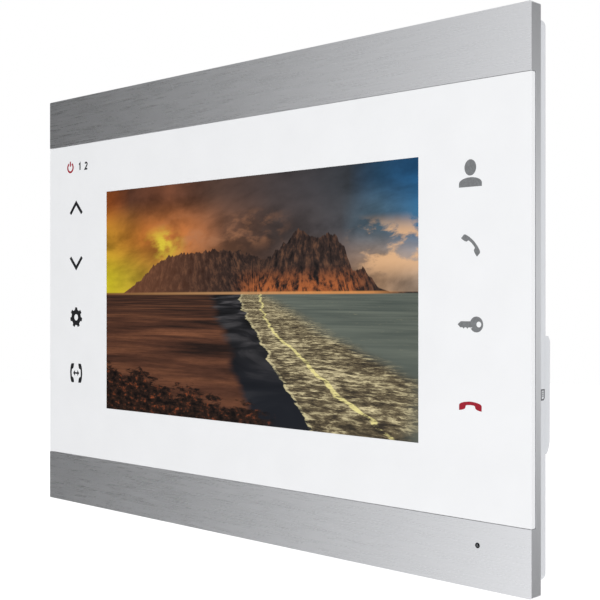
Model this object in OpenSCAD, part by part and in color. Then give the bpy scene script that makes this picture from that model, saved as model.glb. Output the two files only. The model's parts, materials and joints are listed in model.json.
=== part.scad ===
// Wall monitor of a video door intercom, as an assembly of separate pieces.
// +X is right and +Z is up, seen from the front. The front faces -Y, and the wall is the plane y = 0.
// Depths named *_d are measured from the front face of the monitor towards the wall.

/* [Overall] */
// Width of the monitor
overall_w = 232; // [226:1:290]
// Height of the monitor
overall_h = 166; // [162:1:210]
// Height of each metal bar above and below the glass
bar_h = 19.35; // [17:0.05:24]

/* [Glass] */
// Thickness of the cover glass
glass_t = 2.0; // [1.5:0.1:3]
// Gap between the glass and each bar
glass_gap = 0.12; // [0.05:0.01:0.3]
// Thickness of the tape ring under the glass
tape_t = 0.3; // [0.2:0.05:0.6]
// Distance of the tape ring from the glass edge
tape_inset = 0.9; // [0.5:0.1:2]

/* [Frame] */
// Depth of the metal frame
frame_depth = 4.9; // [4.6:0.1:6]
// Wall of the frame's rim
rim_t = 1.4; // [1.2:0.1:2]
// Wall of the frame's bars and of the step beside the glass
bar_skin_t = 1.4; // [1.2:0.1:2]
// Thickness of the ledge that the glass is taped to
seat_t = 1.2; // [0.8:0.1:1.6]
// Width of the ledge at each side
side_ledge_w = 6.5; // [5:0.5:7]
// Width of the ledge above and below
level_ledge_w = 3.5; // [3:0.25:4.5]
// Corner radius of the frame and the glass
corner_r = 0.5; // [0.3:0.1:1.5]

/* [Rear housing] */
// Wall of the rear housing
housing_wall = 2.0; // [1.6:0.1:2.4]
// How far the housing is set in from the frame, all round
housing_inset = 2.6; // [2.2:0.1:3]
// Gap between the housing's front edge and the frame's ledge
housing_gap = 0.2; // [0.1:0.05:0.5]
// Radius of the housing's back edge
housing_edge_r = 2.3; // [1.5:0.1:3]
// How far the side pads rise from the housing's back
pad_rise = 2.1; // [1.5:0.1:2.6]
// Width of each side pad
pad_w = 48.4; // [40:0.2:50]
// Height of each side pad
pad_h = 33.7; // [30:0.1:40]
// Height of the pads' centre above mid-height
pad_z = -27.15; // [-32:0.05:-25]

/* [Housing screws] */
// Shank diameter of the housing screws
screw_d = 2.5; // [2:0.1:3]
// Head diameter of the housing screws
screw_head_d = 4.6; // [4:0.1:5]
// Length of the housing screws under the head
screw_l = 6.4; // [5:0.1:6.6]
// Diameter of the housing's screw towers
tower_d = 7.0; // [6.6:0.1:7.4]
// Distance of the tower centres from the housing's inner side walls
tower_inset_x = 4.8; // [4.2:0.1:6]
// Distance of the tower centres from the housing's inner top and bottom walls
tower_inset_z = 4.2; // [4:0.1:5]

/* [Wall bracket] */
// Width of the bracket
bracket_w = 110; // [104:1:116]
// Height of the bracket
bracket_h = 120; // [118:1:124]
// Sheet thickness of the bracket
bracket_t = 1.2; // [1:0.1:1.5]
// Depth of the bracket from its front face to the wall
bracket_depth = 3.3; // [3:0.1:5]
// Gap between the housing's back and the bracket
bracket_gap = 0.3; // [0.2:0.05:0.5]
// Bracket screw holes, side to side
wall_screw_spacing_x = 60; // [56:1:62]
// Bracket screw holes, up and down
wall_screw_spacing_z = 92; // [88:1:94]
// Diameter of the bracket screw holes
wall_screw_hole_d = 4.5; // [4:0.1:5]
// Spacing of the two holes for a flush wall box
box_screw_spacing = 83.3; // [80:0.1:84]
// Width of the cable opening
cable_opening_w = 54; // [50:1:58]
// Height of the cable opening
cable_opening_h = 32; // [28:1:40]
// Hooks, side to side
hook_spacing_x = 92; // [88:1:94]
// Height of the upper hooks above mid-height
hook_upper_z = 47; // [46:0.5:48]
// Height of the lower hooks above mid-height
hook_lower_z = -56; // [-57:0.5:-55]
// Width of each hook
hook_w = 8; // [6:0.5:9]
// Height of each hook's lip
hook_lip_h = 5; // [4:0.5:5]
// How far the monitor lifts to come off the hooks
lift_travel = 6.5; // [5.5:0.5:7]

/* [Display] */
// Width of the visible picture
view_w = 154; // [150:0.1:155]
// Height of the visible picture
view_h = 86; // [84:0.1:88]
// Width of the display module
display_w = 165; // [164:0.5:166]
// Height of the display module
display_h = 100; // [99:0.5:101]
// Depth of the display module
display_t = 3.5; // [3.4:0.1:4.5]
// Thickness of the foam ring in front of the display
gasket_t = 0.5; // [0.3:0.1:0.8]
// Sheet thickness of the display's metal bezel
bezel_t = 0.3; // [0.2:0.05:0.4]

/* [Touch keys] */
// Distance of the left key column from the side
left_key_inset = 18.3; // [17:0.1:19]
// Distance of the right key column from the side
right_key_inset = 20.3; // [19:0.1:21]
// Height of the top key above mid-height
top_key_z = 37.5; // [36:0.5:38]
// Distance between keys
key_pitch = 22.5; // [20:0.5:23]
// Height of the indicator row above mid-height
indicator_z = 54.7; // [53:0.1:55]
// Width of each touch board
touch_board_w = 19; // [17:0.5:20]
// Thickness of each touch board
touch_board_t = 1.0; // [0.8:0.1:1.2]
// Thickness of the diffuser between the glass and a touch board
diffuser_t = 1.3; // [1.2:0.1:1.5]

/* [Carrier and main board] */
// Thickness of the inner carrier
carrier_t = 1.2; // [1:0.1:1.5]
// Gap between the carrier and the main board
board_gap = 0.9; // [0.8:0.1:1.5]
// Thickness of the main board
board_t = 1.2; // [1:0.1:1.6]
// Room between the main board and the housing's back wall
rear_space = 2.0; // [1.9:0.1:4]
// Height of the main board
board_h = 86; // [80:1:86]
// Gap between the main board's left edge and the loudspeaker
board_speaker_gap = 4; // [2:0.5:8]
// Height of the main board's centre above mid-height
board_z = -3; // [-4:0.5:-2]
// Shank diameter of the small screws
small_screw_d = 2.0; // [1.6:0.1:2.2]
// Head diameter of the small screws
small_head_d = 3.6; // [3.2:0.1:3.8]
// Head height of the small screws
small_head_h = 1.2; // [1:0.1:1.4]

/* [Memory card] */
// Length of the memory card
card_l = 15; // [14.8:0.1:15.2]
// Width of the memory card
card_w = 11; // [10.8:0.1:11.2]
// Thickness of the memory card
card_t = 0.7; // [0.6:0.05:0.8]
// How far the card's end lies below the housing's side
card_recess = 0.4; // [0.2:0.1:1]
// Height of the card slot above mid-height
card_z = -27; // [-30:0.5:-25]
// How far the slider pushes in past its catch
card_push = 0.5; // [0.3:0.1:0.6]
// How far the slider springs out
card_release = 2.4; // [1.5:0.1:2.8]

/* [Sound] */
// Diameter of the loudspeaker
speaker_d = 36; // [32:1:36]
// Distance of the loudspeaker's centre from the housing's side
speaker_inset = 27.4; // [26:0.2:28]
// Height of the loudspeaker's centre above mid-height
speaker_z = 35; // [32:0.5:36]
// Travel of the cone each way
cone_travel = 0.3; // [0.2:0.05:0.35]
// Diameter of the microphone hole
mic_hole_d = 1.6; // [1:0.1:2]
// Distance of the microphone hole from the side
mic_inset_x = 17.8; // [16:0.2:19]
// Distance of the microphone hole from the bottom
mic_inset_z = 12.4; // [11:0.2:13]

/* [Sockets] */
// Pin pitch of the wall sockets
socket_pitch = 2.0; // [1.8:0.1:2.2]
// Depth of each wall socket, across its pins
socket_h = 4.5; // [4:0.1:5]
// How far the sockets stand off the main board
socket_rise = 3.8; // [3.2:0.1:4]
// Distance between sockets
socket_spacing = 12.2; // [12:0.1:13]

/* [Hidden] */
$fn = 48;
hull_fn = 32;
cut = 0.5;                       // how far a cutting shape runs past a face
weld = 0.2;                      // how far joined shapes run into each other
fit = 0.05;                      // radial clearance of screws in their pilot holes
piece_gap = 0.1;                 // gap between pieces that lie against each other
free_gap = 0.3;                  // gap between a moving piece and what it passes

// Depths of the layers
glass_back_d = glass_t;
seat_d = glass_back_d + tape_t;
seat_back_d = seat_d + seat_t;
bezel_front_d = glass_back_d + gasket_t;
bezel_back_d = bezel_front_d + display_t;
carrier_front_d = bezel_back_d + piece_gap;
carrier_back_d = carrier_front_d + carrier_t;
board_front_d = carrier_back_d + board_gap;
board_back_d = board_front_d + board_t;
inner_back_d = board_back_d + rear_space;
body_d = inner_back_d + housing_wall;
pad_back_d = body_d + pad_rise;
plate_front_d = body_d + bracket_gap;
plate_back_d = plate_front_d + bracket_t;
wall_d = plate_front_d + bracket_depth;
touch_board_front_d = glass_back_d + piece_gap / 2 + diffuser_t + piece_gap / 2;
touch_board_back_d = touch_board_front_d + touch_board_t;
housing_front_d = seat_back_d + housing_gap;

// Frame and glass
half_w = overall_w / 2;
half_h = overall_h / 2;
recess_h = overall_h - 2 * bar_h;
glass_h = recess_h - 2 * glass_gap;
window_w = overall_w - 2 * side_ledge_w;
window_h = recess_h - 2 * level_ledge_w;
bar_cavity_z = recess_h / 2 + bar_skin_t;
cavity_w = overall_w - 2 * rim_t;
cavity_h = overall_h - 2 * rim_t;

// Microphone
mic_x = half_w - mic_inset_x;
mic_z = -half_h + mic_inset_z;
mic_capsule_d = 6;
mic_capsule_h = 2.4;
mic_boot_d = 8;
mic_front_d = bar_skin_t + 0.9;

// Housing, towers and posts
housing_w = overall_w - 2 * housing_inset;
housing_h = overall_h - 2 * housing_inset;
inner_half_w = housing_w / 2 - housing_wall;
inner_half_h = housing_h / 2 - housing_wall;
tower_x = inner_half_w - tower_inset_x;
tower_z = inner_half_h - tower_inset_z;
tower_points = [for (x = [-tower_x, 0, tower_x], z = [-tower_z, tower_z]) [x, z]];
post_d = tower_d - 1;
post_back_d = board_front_d - 0.6;
tower_front_d = post_back_d + piece_gap;
screw_seat_d = board_back_d;
screw_tip_d = screw_seat_d - screw_l;
screw_head_h = 1.7;
clearance_hole_d = screw_d + 0.4;
counterbore_d = screw_head_d + 0.6;
pad_inner_x = housing_w / 2 - pad_w;
pad_upper_r = 1.8;
pad_lower_r = 2.1;
pad_lower_slope = 1.2;
pad_pocket_inset = 4.5;

// Carrier and its posts
carrier_post_d = 4.6;
carrier_post_z = bar_cavity_z + carrier_post_d / 2 + 0.45;
carrier_post_x = mic_x - mic_boot_d / 2 - carrier_post_d / 2 - 1;
carrier_points = [for (x = [-carrier_post_x, carrier_post_x / 4, carrier_post_x], z = [-1, 1])
  [x, z * carrier_post_z]];
carrier_w = 2 * (inner_half_w - 0.8);
carrier_h = 2 * (tower_z - tower_d / 2 - free_gap);
locator_t = 1.2;
locator_gap = 0.3;
locator_depth = 2.2;
carrier_screw_l = 4.0;

// Loudspeaker's place
speaker_x = -housing_w / 2 + speaker_inset;
speaker_r = speaker_d / 2;

// Main board
board_left = -speaker_x - speaker_r - board_speaker_gap;
board_right = inner_half_w - 1.4;
board_top = board_z + board_h / 2;
board_bottom = board_z - board_h / 2;
board_hole_inset = 5;
board_points = [
  [-board_left + board_hole_inset, board_top - board_hole_inset],
  [-board_left + board_hole_inset, board_bottom + board_hole_inset],
  [board_right - board_hole_inset, board_top - board_hole_inset],
  [board_right - board_hole_inset, board_bottom + board_hole_inset]];
board_boss_d = 4.6;
board_screw_l = 2.6;
pilot_d = small_screw_d + 2 * fit;

// Display module
bezel_open_w = view_w + 1.2;
bezel_open_h = view_h + 1.0;
tray_w = display_w - 2 * bezel_t - 0.2;
tray_h = display_h - 2 * bezel_t - 0.2;
tray_wall = 1.4;
tray_back_t = 0.5;
cell_front_d = bezel_front_d + bezel_t + 0.05;
cell_plate_t = 0.5;
cell_back_d = cell_front_d + 2 * cell_plate_t;
cell_ledge_h = 3.0;
tray_front_d = cell_back_d + 0.05;
tray_back_d = bezel_back_d - 0.05;
tray_floor_d = tray_back_d - tray_back_t;
film_t = 0.4;
guide_front_d = tray_front_d + film_t + 0.05;
led_strip_h = 2.2;
light_w = tray_w - 2 * tray_wall - 0.4;
light_h = tray_h - 2 * tray_wall - 0.4;
flex_w = 38;
flex_t = 0.2;
flex_front_d = cell_front_d + cell_plate_t - flex_t / 2;
flex_rear_d = (carrier_back_d + board_front_d) / 2 + 0.1;
flex_bend_z = -display_h / 2 - 1.0;
flex_bend_r = (flex_rear_d - flex_front_d) / 2;
connector_rise = board_gap - piece_gap / 2;

// Touch boards
left_key_x = -half_w + left_key_inset;
right_key_x = half_w - right_key_inset;
touch_board_top = window_h / 2 - 0.7;
touch_board_bottom = top_key_z - 3 * key_pitch - 12;
left_board_x = left_key_x + 0.7;
right_board_x = right_key_x;
key_zs = [for (i = [0:3]) top_key_z - i * key_pitch];
left_led_points = concat([for (z = key_zs) [left_key_x, z]],
  [for (dx = [-4, 3, 7]) [left_key_x + dx, indicator_z]]);
right_led_points = [for (z = key_zs) [right_key_x, z]];
led_well_d = 5.6;
led_size = [2.0, 1.2];
led_h = 0.7;
ribbon_w = 6;
ribbon_t = 0.2;
ribbon_r = 1.5;
ribbon_front_d = touch_board_back_d + ribbon_t / 2;
ribbon_drop_x = display_w / 2 + 2.5;
left_ribbon_z = -20;
right_ribbon_z = 12;
left_ribbon_end = board_left - 6;
right_ribbon_end = ribbon_drop_x - 10;

// Memory card slot
card_tip_x = housing_w / 2 - card_recess;
card_back_x = card_tip_x - card_l;
card_front_d = board_front_d - 1.15;
card_back_d = card_front_d + card_t;
socket_play = 0.15;
shell_t = 0.2;
lane_w = 1.3;
lane_top = card_z - card_w / 2 - socket_play;
socket_mouth_x = inner_half_w - 1.6;
socket_back_x = card_back_x - 3.0;
channel_back_x = card_back_x - 1.8;
socket_half_h = card_w / 2 + socket_play + lane_w + 0.3;
channel_front_d = card_front_d - socket_play;
channel_back_d = card_back_d + socket_play;
slider_bar_t = 0.7;
slider_arm_t = 0.35;
slider_arm_l = 7.5;
slider_gap = 0.08;
spring_d = 0.7;
slot_margin = 0.5;

// Loudspeaker
speaker_rim_w = 2.0;
gasket_front_d = inner_back_d - 0.7;
rim_back_d = gasket_front_d;
rim_t_speaker = 0.4;
cone_back_d = rim_back_d - rim_t_speaker - 0.1;
cone_t = 0.25;
cone_r = speaker_r - speaker_rim_w - 2.4;
coil_r = 7.6;
coil_t = 0.5;
coil_depth = 1.8;
yoke_r = 9.6;
yoke_wall = 1.2;
yoke_front_d = carrier_front_d + 0.35;
yoke_base_t = 0.7;
magnet_r = 6.6;
magnet_t = 1.2;
pole_t = 0.5;
yoke_rim_d = yoke_front_d + yoke_base_t + magnet_t + pole_t;
grille_r = cone_r;

// Sockets that face the wall
socket_pins_each = [4, 4, 4, 2];
socket_end = 1.95;
socket_wall = 0.5;
socket_floor = 0.9;
socket_gap = 0.35;
pin_size = 0.5;
socket_back_d = board_back_d + socket_rise;

// Bracket
hook_x = hook_spacing_x / 2;
hook_points = [for (x = [-hook_x, hook_x], z = [hook_lower_z, hook_upper_z]) [x, z]];
hook_front_d = inner_back_d - free_gap - bracket_t;
hook_slot_w = hook_w + 2.6;
hook_rest_gap = 0.08;
cup_d = 11;
wall_screw_points = [for (x = [-1, 1], z = [-1, 1])
  [x * wall_screw_spacing_x / 2, z * wall_screw_spacing_z / 2]];
box_screw_points = [for (z = [-1, 1]) [0, z * box_screw_spacing / 2]];
bracket_z = (hook_upper_z + hook_lip_h + hook_lower_z - hook_lip_h) / 2 + 2.5;

// A flat shape, drawn in X and Z, that spans from one depth to another
module plate(from_d, to_d) {
  translate([0, to_d - wall_d, 0])
    rotate([90, 0, 0])
      linear_extrude(to_d - from_d)
        children();
}

module rod(point, d, from_d, to_d) {
  translate([point[0], to_d - wall_d, point[1]])
    rotate([90, 0, 0])
      cylinder(h = to_d - from_d, d = d);
}

// A box between two corners given as [x, z], spanning two depths
module block(low, high, from_d, to_d) {
  translate([low[0], from_d - wall_d, low[1]])
    cube([high[0] - low[0], to_d - from_d, high[1] - low[1]]);
}

module centred_block(centre, size, from_d, to_d) {
  block([centre[0] - size[0] / 2, centre[1] - size[1] / 2],
    [centre[0] + size[0] / 2, centre[1] + size[1] / 2], from_d, to_d);
}

module rounded_rect(size, r) {
  square([size[0] - 2 * r, size[1]], center = true);
  square([size[0], size[1] - 2 * r], center = true);
  for (x = [-1, 1], z = [-1, 1])
    translate([x * (size[0] / 2 - r), z * (size[1] / 2 - r)])
      circle(r);
}

module ring(outer, inner, from_d, to_d) {
  difference() {
    centred_block([0, 0], outer, from_d, to_d);
    centred_block([0, 0], inner, from_d - cut, to_d + cut);
  }
}

// A profile drawn in X and depth, or in Z and depth, as an outline turned about the speaker's axis
module turned(centre) {
  translate([centre[0], -wall_d, centre[1]])
    rotate([-90, 0, 0])
      rotate_extrude()
        children();
}

module screw(point, seat_d, shank_d, shank_l, head_d, head_h) {
  rod(point, shank_d, seat_d - shank_l, seat_d + head_h / 2);
  difference() {
    rod(point, head_d, seat_d, seat_d + head_h);
    cross_slot(point, head_d, seat_d + head_h / 2, seat_d + head_h + cut);
  }
}

module cross_slot(point, head_d, from_d, to_d) {
  slot_w = head_d / 7;
  slot_l = head_d * 0.6;
  centred_block(point, [slot_l, slot_w], from_d, to_d);
  centred_block(point, [slot_w, slot_l], from_d, to_d);
}

// A round tube swept along points given as [x, depth, z]
module lead(points, d) {
  sides = 8;
  n = len(points);
  path = [for (p = points) [p[0], p[1] - wall_d, p[2]]];
  tangents = [for (i = [0:n - 1]) unit(path[min(i + 1, n - 1)] - path[max(i - 1, 0)])];
  rings = [for (i = [0:n - 1]) let (t = tangents[i], u = unit(cross(t, [0.1, 1, 0.2])), v = cross(t, u))
    for (k = [0:sides - 1]) path[i] + d / 2 * (cos(360 * k / sides) * u + sin(360 * k / sides) * v)];
  walls = [for (i = [0:n - 2], k = [0:sides - 1])
    [i * sides + k, i * sides + (k + 1) % sides, (i + 1) * sides + (k + 1) % sides, (i + 1) * sides + k]];
  ends = [[for (k = [sides - 1:-1:0]) k], [for (k = [0:sides - 1]) (n - 1) * sides + k]];
  polyhedron(rings, concat(walls, ends));
}

function unit(v) = v / norm(v);

// Points along a smooth curve between two ends, bowed to one side
function bow(a, b, side, steps) = [for (i = [0:steps]) let (s = i / steps)
  a + (b - a) * s + side * sin(180 * s)];

// Front assembly

module front_frame() {
  color("silver")
  difference() {
    union() {
      difference() {
        plate(0, frame_depth) rounded_rect([overall_w, overall_h], corner_r);
        centred_block([0, 0], [overall_w + 2 * cut, recess_h], -cut, seat_d);
        centred_block([0, 0], [window_w, window_h], seat_d - cut, seat_back_d + cut);
        centred_block([0, 0], [cavity_w, 2 * bar_cavity_z], seat_back_d, frame_depth + cut);
        for (side = [-1, 1])
          centred_block([0, side * (bar_cavity_z + cavity_h / 2) / 2],
            [cavity_w, cavity_h / 2 - bar_cavity_z], bar_skin_t, frame_depth + cut);
      }
      for (p = tower_points)
        rod(p, post_d, bar_skin_t - weld, post_back_d);
      for (p = carrier_points)
        rod(p, carrier_post_d, bar_skin_t - weld, carrier_front_d - piece_gap);
    }
    for (p = tower_points)
      rod(p, screw_d + 2 * fit, screw_tip_d - 0.4, post_back_d + cut);
    for (p = carrier_points)
      rod(p, pilot_d, carrier_back_d - carrier_screw_l - 0.4, carrier_front_d + cut);
    rod([mic_x, mic_z], mic_hole_d, -cut, bar_skin_t + cut);
  }
}

module front_glass() {
  color("white")
  plate(0, glass_back_d) rounded_rect([overall_w, glass_h], corner_r);
}

module glass_adhesive() {
  color("dimgray")
  ring([overall_w - 2 * tape_inset, glass_h - 2 * tape_inset / 2], [window_w + 0.6, window_h + 0.4],
    glass_back_d, seat_d);
}

module display_gasket() {
  color("black")
  ring([display_w - 1, display_h - 1], [bezel_open_w, bezel_open_h], glass_back_d, bezel_front_d);
}

module display_bezel() {
  color("gainsboro")
  difference() {
    centred_block([0, 0], [display_w, display_h], bezel_front_d, bezel_back_d);
    centred_block([0, 0], [bezel_open_w, bezel_open_h], bezel_front_d - cut, bezel_front_d + display_t);
    centred_block([0, 0], [display_w - 2 * bezel_t, display_h - 2 * bezel_t],
      bezel_front_d + bezel_t, bezel_back_d + cut);
    centred_block([0, -display_h / 2], [flex_w + 2, 4 * bezel_t], cell_front_d, bezel_back_d + cut);
  }
}

module display_panel() {
  color("darkslateblue")
  union() {
    block([-tray_w / 2, -tray_h / 2 + cell_ledge_h], [tray_w / 2, tray_h / 2],
      cell_front_d, cell_front_d + cell_plate_t);
    block([-tray_w / 2, -tray_h / 2], [tray_w / 2, tray_h / 2], cell_front_d + cell_plate_t, cell_back_d);
  }
}

module display_films() {
  color("whitesmoke")
  centred_block([0, 0], [light_w, light_h], tray_front_d, tray_front_d + film_t);
}

module display_light_guide() {
  color("lightcyan")
  block([-light_w / 2, -light_h / 2 + led_strip_h + piece_gap], [light_w / 2, light_h / 2],
    guide_front_d, tray_floor_d);
}

module display_led_strip() {
  color("khaki")
  block([-light_w / 2, -light_h / 2], [light_w / 2, -light_h / 2 + led_strip_h],
    guide_front_d, tray_floor_d);
}

module display_tray() {
  color("white")
  difference() {
    centred_block([0, 0], [tray_w, tray_h], tray_front_d, tray_back_d);
    centred_block([0, 0], [tray_w - 2 * tray_wall, tray_h - 2 * tray_wall], tray_front_d - cut, tray_floor_d);
  }
}

// A strip that leaves the cell, turns back round the display's lower edge and reaches the main board
module display_flex() {
  connector_z = board_bottom + 6;
  color("darkorange")
  translate([-flex_w / 2, -wall_d, 0])
    rotate([90, 0, 90])
      linear_extrude(flex_w) {
        translate([flex_front_d - flex_t / 2, flex_bend_z])
          square([flex_t, -tray_h / 2 + cell_ledge_h - 0.3 - flex_bend_z]);
        translate([flex_rear_d - flex_t / 2, flex_bend_z])
          square([flex_t, connector_z - flex_bend_z]);
        translate([flex_front_d + flex_bend_r, flex_bend_z])
          difference() {
            circle(flex_bend_r + flex_t / 2);
            circle(flex_bend_r - flex_t / 2);
            translate([-2 * flex_bend_r, 0])
              square([4 * flex_bend_r, 2 * flex_bend_r]);
          }
      }
}

// Touch keys

module touch_board(x) {
  difference() {
    block([x - touch_board_w / 2, touch_board_bottom], [x + touch_board_w / 2, touch_board_top],
      touch_board_front_d, touch_board_back_d);
    for (z = [touch_board_bottom + 3, touch_board_top - 3])
      rod([x, z], 2.2, touch_board_front_d - cut, touch_board_back_d + cut);
  }
}

module touch_board_left() {
  color("darkgreen") touch_board(left_board_x);
}

module touch_board_right() {
  color("darkgreen") touch_board(right_board_x);
}

module touch_diffuser(x, wells) {
  margin = 1.2;
  difference() {
    block([x - touch_board_w / 2 + margin, touch_board_bottom + margin],
      [x + touch_board_w / 2 - margin, touch_board_top - margin],
      glass_back_d + piece_gap / 2, touch_board_front_d - piece_gap / 2);
    for (p = wells)
      centred_block(p, [3.2, led_well_d], glass_back_d + 0.5, touch_board_front_d + cut);
  }
}

module touch_diffuser_left() {
  color("white") touch_diffuser(left_board_x, left_led_points);
}

module touch_diffuser_right() {
  color("white") touch_diffuser(right_board_x, right_led_points);
}

module touch_leds() {
  color("lightyellow")
  for (p = concat(left_led_points, right_led_points))
    centred_block(p, led_size, touch_board_front_d - led_h, touch_board_front_d);
}

module touch_chips() {
  chip_size = [4, 4];
  part_size = [1.6, 0.8];
  color("black")
  for (x = [left_board_x, right_board_x]) {
    centred_block([x, key_zs[1] - key_pitch / 2], chip_size, touch_board_back_d, touch_board_back_d + 0.8);
    for (dx = [-4.5, 4.5], dz = [-3:1.5:3])
      centred_block([x + dx, key_zs[1] - key_pitch / 2 + dz], part_size,
        touch_board_back_d, touch_board_back_d + 0.5);
  }
}

// A flat cable that leaves a touch board, drops past the display's side and turns in to the main board
module ribbon(board_x, end_x, z) {
  start_x = board_x - 4;
  turn_x = ribbon_drop_x + ribbon_r;
  translate([0, -wall_d, z - ribbon_w / 2])
    linear_extrude(ribbon_w) {
      translate([turn_x, ribbon_front_d - ribbon_t / 2])
        square([start_x - turn_x, ribbon_t]);
      quarter_band([turn_x, ribbon_front_d + ribbon_r], [-1, -1]);
      translate([ribbon_drop_x - ribbon_t / 2, ribbon_front_d + ribbon_r])
        square([ribbon_t, flex_rear_d - ribbon_front_d - 2 * ribbon_r]);
      quarter_band([ribbon_drop_x - ribbon_r, flex_rear_d - ribbon_r], [1, 1]);
      translate([end_x, flex_rear_d - ribbon_t / 2])
        square([ribbon_drop_x - ribbon_r - end_x, ribbon_t]);
    }
}

module quarter_band(centre, side) {
  reach = ribbon_r + ribbon_t;
  translate(centre)
    intersection() {
      difference() {
        circle(ribbon_r + ribbon_t / 2);
        circle(ribbon_r - ribbon_t / 2);
      }
      translate([side[0] > 0 ? 0 : -reach, side[1] > 0 ? 0 : -reach])
        square(reach);
    }
}

module touch_cable_left() {
  color("ivory")
  mirror([1, 0, 0]) ribbon(-left_board_x, left_ribbon_end, left_ribbon_z);
}

module touch_cable_right() {
  color("ivory") ribbon(right_board_x, right_ribbon_end, right_ribbon_z);
}

// Carrier and main board

module inner_carrier() {
  locator_w = display_w + 2 * locator_gap;
  locator_h = display_h + 2 * locator_gap;
  color("dimgray")
  difference() {
    union() {
      difference() {
        centred_block([0, 0], [carrier_w, carrier_h], carrier_front_d, carrier_back_d);
        for (side = [-1, 1])
          centred_block([side * (ribbon_drop_x + 0.35), side < 0 ? left_ribbon_z : right_ribbon_z],
            [2.1, ribbon_w + 2], carrier_front_d - cut, carrier_back_d + cut);
        centred_block([0, flex_bend_z - 1.6], [flex_w + 3, 4], carrier_front_d - cut, carrier_back_d + cut);
        rod([speaker_x, speaker_z], speaker_d + 1, carrier_front_d - cut, carrier_back_d + cut);
        block([socket_back_x - 1, card_z - socket_half_h - 1], [carrier_w / 2 + cut, card_z + socket_half_h + 1],
          carrier_front_d - cut, carrier_back_d + cut);
        block([mic_x - 5, -carrier_h / 2 - cut], [mic_x + 5, mic_z + 5],
          carrier_front_d - cut, carrier_back_d + cut);
      }
      difference() {
        ring([locator_w + 2 * locator_t, locator_h + 2 * locator_t], [locator_w, locator_h],
          carrier_front_d - locator_depth, carrier_front_d + weld);
        centred_block([0, -locator_h / 2], [flex_w + 6, 4 * locator_t],
          carrier_front_d - locator_depth - cut, carrier_back_d + cut);
      }
      for (p = board_points)
        rod(p, board_boss_d, carrier_front_d, board_front_d);
    }
    for (p = board_points)
      rod(p, pilot_d, carrier_front_d - cut, board_front_d + cut);
    for (p = carrier_points)
      rod(p, small_screw_d + 0.4, carrier_front_d - cut, carrier_back_d + cut);
  }
}

module carrier_screws() {
  color("silver")
  for (p = carrier_points)
    screw(p, carrier_back_d, small_screw_d, carrier_screw_l, small_head_d, small_head_h);
}

module main_board() {
  color("darkgreen")
  difference() {
    block([-board_left, board_bottom], [board_right, board_top], board_front_d, board_back_d);
    for (p = board_points)
      rod(p, small_screw_d + 0.4, board_front_d - cut, board_back_d + cut);
  }
}

module board_screws() {
  color("silver")
  for (p = board_points)
    screw(p, board_back_d, small_screw_d, board_screw_l + board_t - 0.6, small_head_d, small_head_h);
}

processor_point = [18, 21];

module processor() {
  color("black")
  centred_block(processor_point, [15, 15], board_back_d, board_back_d + 1.1);
}

module processor_shield() {
  shield_size = 26;
  shield_t = 0.3;
  shield_rise = 1.7;
  color("silver")
  difference() {
    centred_block(processor_point, [shield_size, shield_size], board_back_d, board_back_d + shield_rise);
    centred_block(processor_point, [shield_size - 2 * shield_t, shield_size - 2 * shield_t],
      board_back_d - cut, board_back_d + shield_rise - shield_t);
  }
}

module memory_chips() {
  color("black")
  for (p = [[-6, 28], [-6, 15], [-22, 21]])
    centred_block(p, [10, 9], board_back_d, board_back_d + 1.0);
}

module board_passives() {
  color("tan")
  for (i = [0:8], j = [0:4])
    centred_block([-50 + 4 * i, -16 - 4 * j], [1.6, 0.8], board_back_d, board_back_d + 0.7);
}

module board_capacitors() {
  color("darkgoldenrod")
  for (i = [0:2], j = [0:1])
    centred_block([26 + 10 * i, -18 - 8 * j], [7.3, 4.3], board_back_d, board_back_d + 1.7);
}

module board_inductors() {
  color("slategray")
  for (x = [58, 67], z = [14, 24])
    difference() {
      centred_block([x, z], [6, 6], board_back_d, board_back_d + 1.6);
      rod([x, z], 3, board_back_d + 1.2, board_back_d + 1.6 + cut);
    }
}

cell_point = [84, 6];
cell_d = 12.5;
cell_t = 1.2;

module backup_cell() {
  color("silver")
  rod(cell_point, cell_d, board_back_d + 0.2, board_back_d + 0.2 + cell_t);
}

module backup_cell_clip() {
  strip_w = 3;
  clip_t = 0.2;
  foot = 3;
  reach = cell_d / 2 + 0.6;
  color("gold")
  union() {
    for (side = [-1, 1]) {
      block([cell_point[0] + (side < 0 ? -reach - foot : reach), cell_point[1] - strip_w / 2],
        [cell_point[0] + (side < 0 ? -reach : reach + foot), cell_point[1] + strip_w / 2],
        board_back_d, board_back_d + clip_t);
      block([cell_point[0] + (side < 0 ? -reach - clip_t : reach), cell_point[1] - strip_w / 2],
        [cell_point[0] + (side < 0 ? -reach : reach + clip_t), cell_point[1] + strip_w / 2],
        board_back_d, board_back_d + 0.2 + cell_t + clip_t);
    }
    centred_block(cell_point, [2 * reach + 2 * clip_t, strip_w],
      board_back_d + 0.2 + cell_t, board_back_d + 0.2 + cell_t + clip_t);
  }
}

module display_connector() {
  connector_z = board_bottom + 6;
  color("beige")
  centred_block([0, connector_z + 2.5], [flex_w + 4, 5], board_front_d - connector_rise, board_front_d);
}

module touch_connectors() {
  color("beige")
  for (p = [[-left_ribbon_end + 2, left_ribbon_z], [right_ribbon_end - 2, right_ribbon_z]])
    centred_block(p, [4, ribbon_w + 2], board_front_d - connector_rise, board_front_d);
}

mic_lead_reach = 26.2;
speaker_header = [-board_left + 5, 6];
mic_header = [mic_x - mic_lead_reach, board_bottom + 4];

module lead_headers() {
  color("white")
  for (p = [speaker_header, mic_header])
    difference() {
      centred_block(p, [4, 5], board_back_d, board_back_d + 1.8);
      for (dz = [-1, 1])
        rod(p + [0, dz], 0.9, board_back_d + 0.6, board_back_d + 1.8 + cut);
    }
}

// Memory card slot

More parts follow.
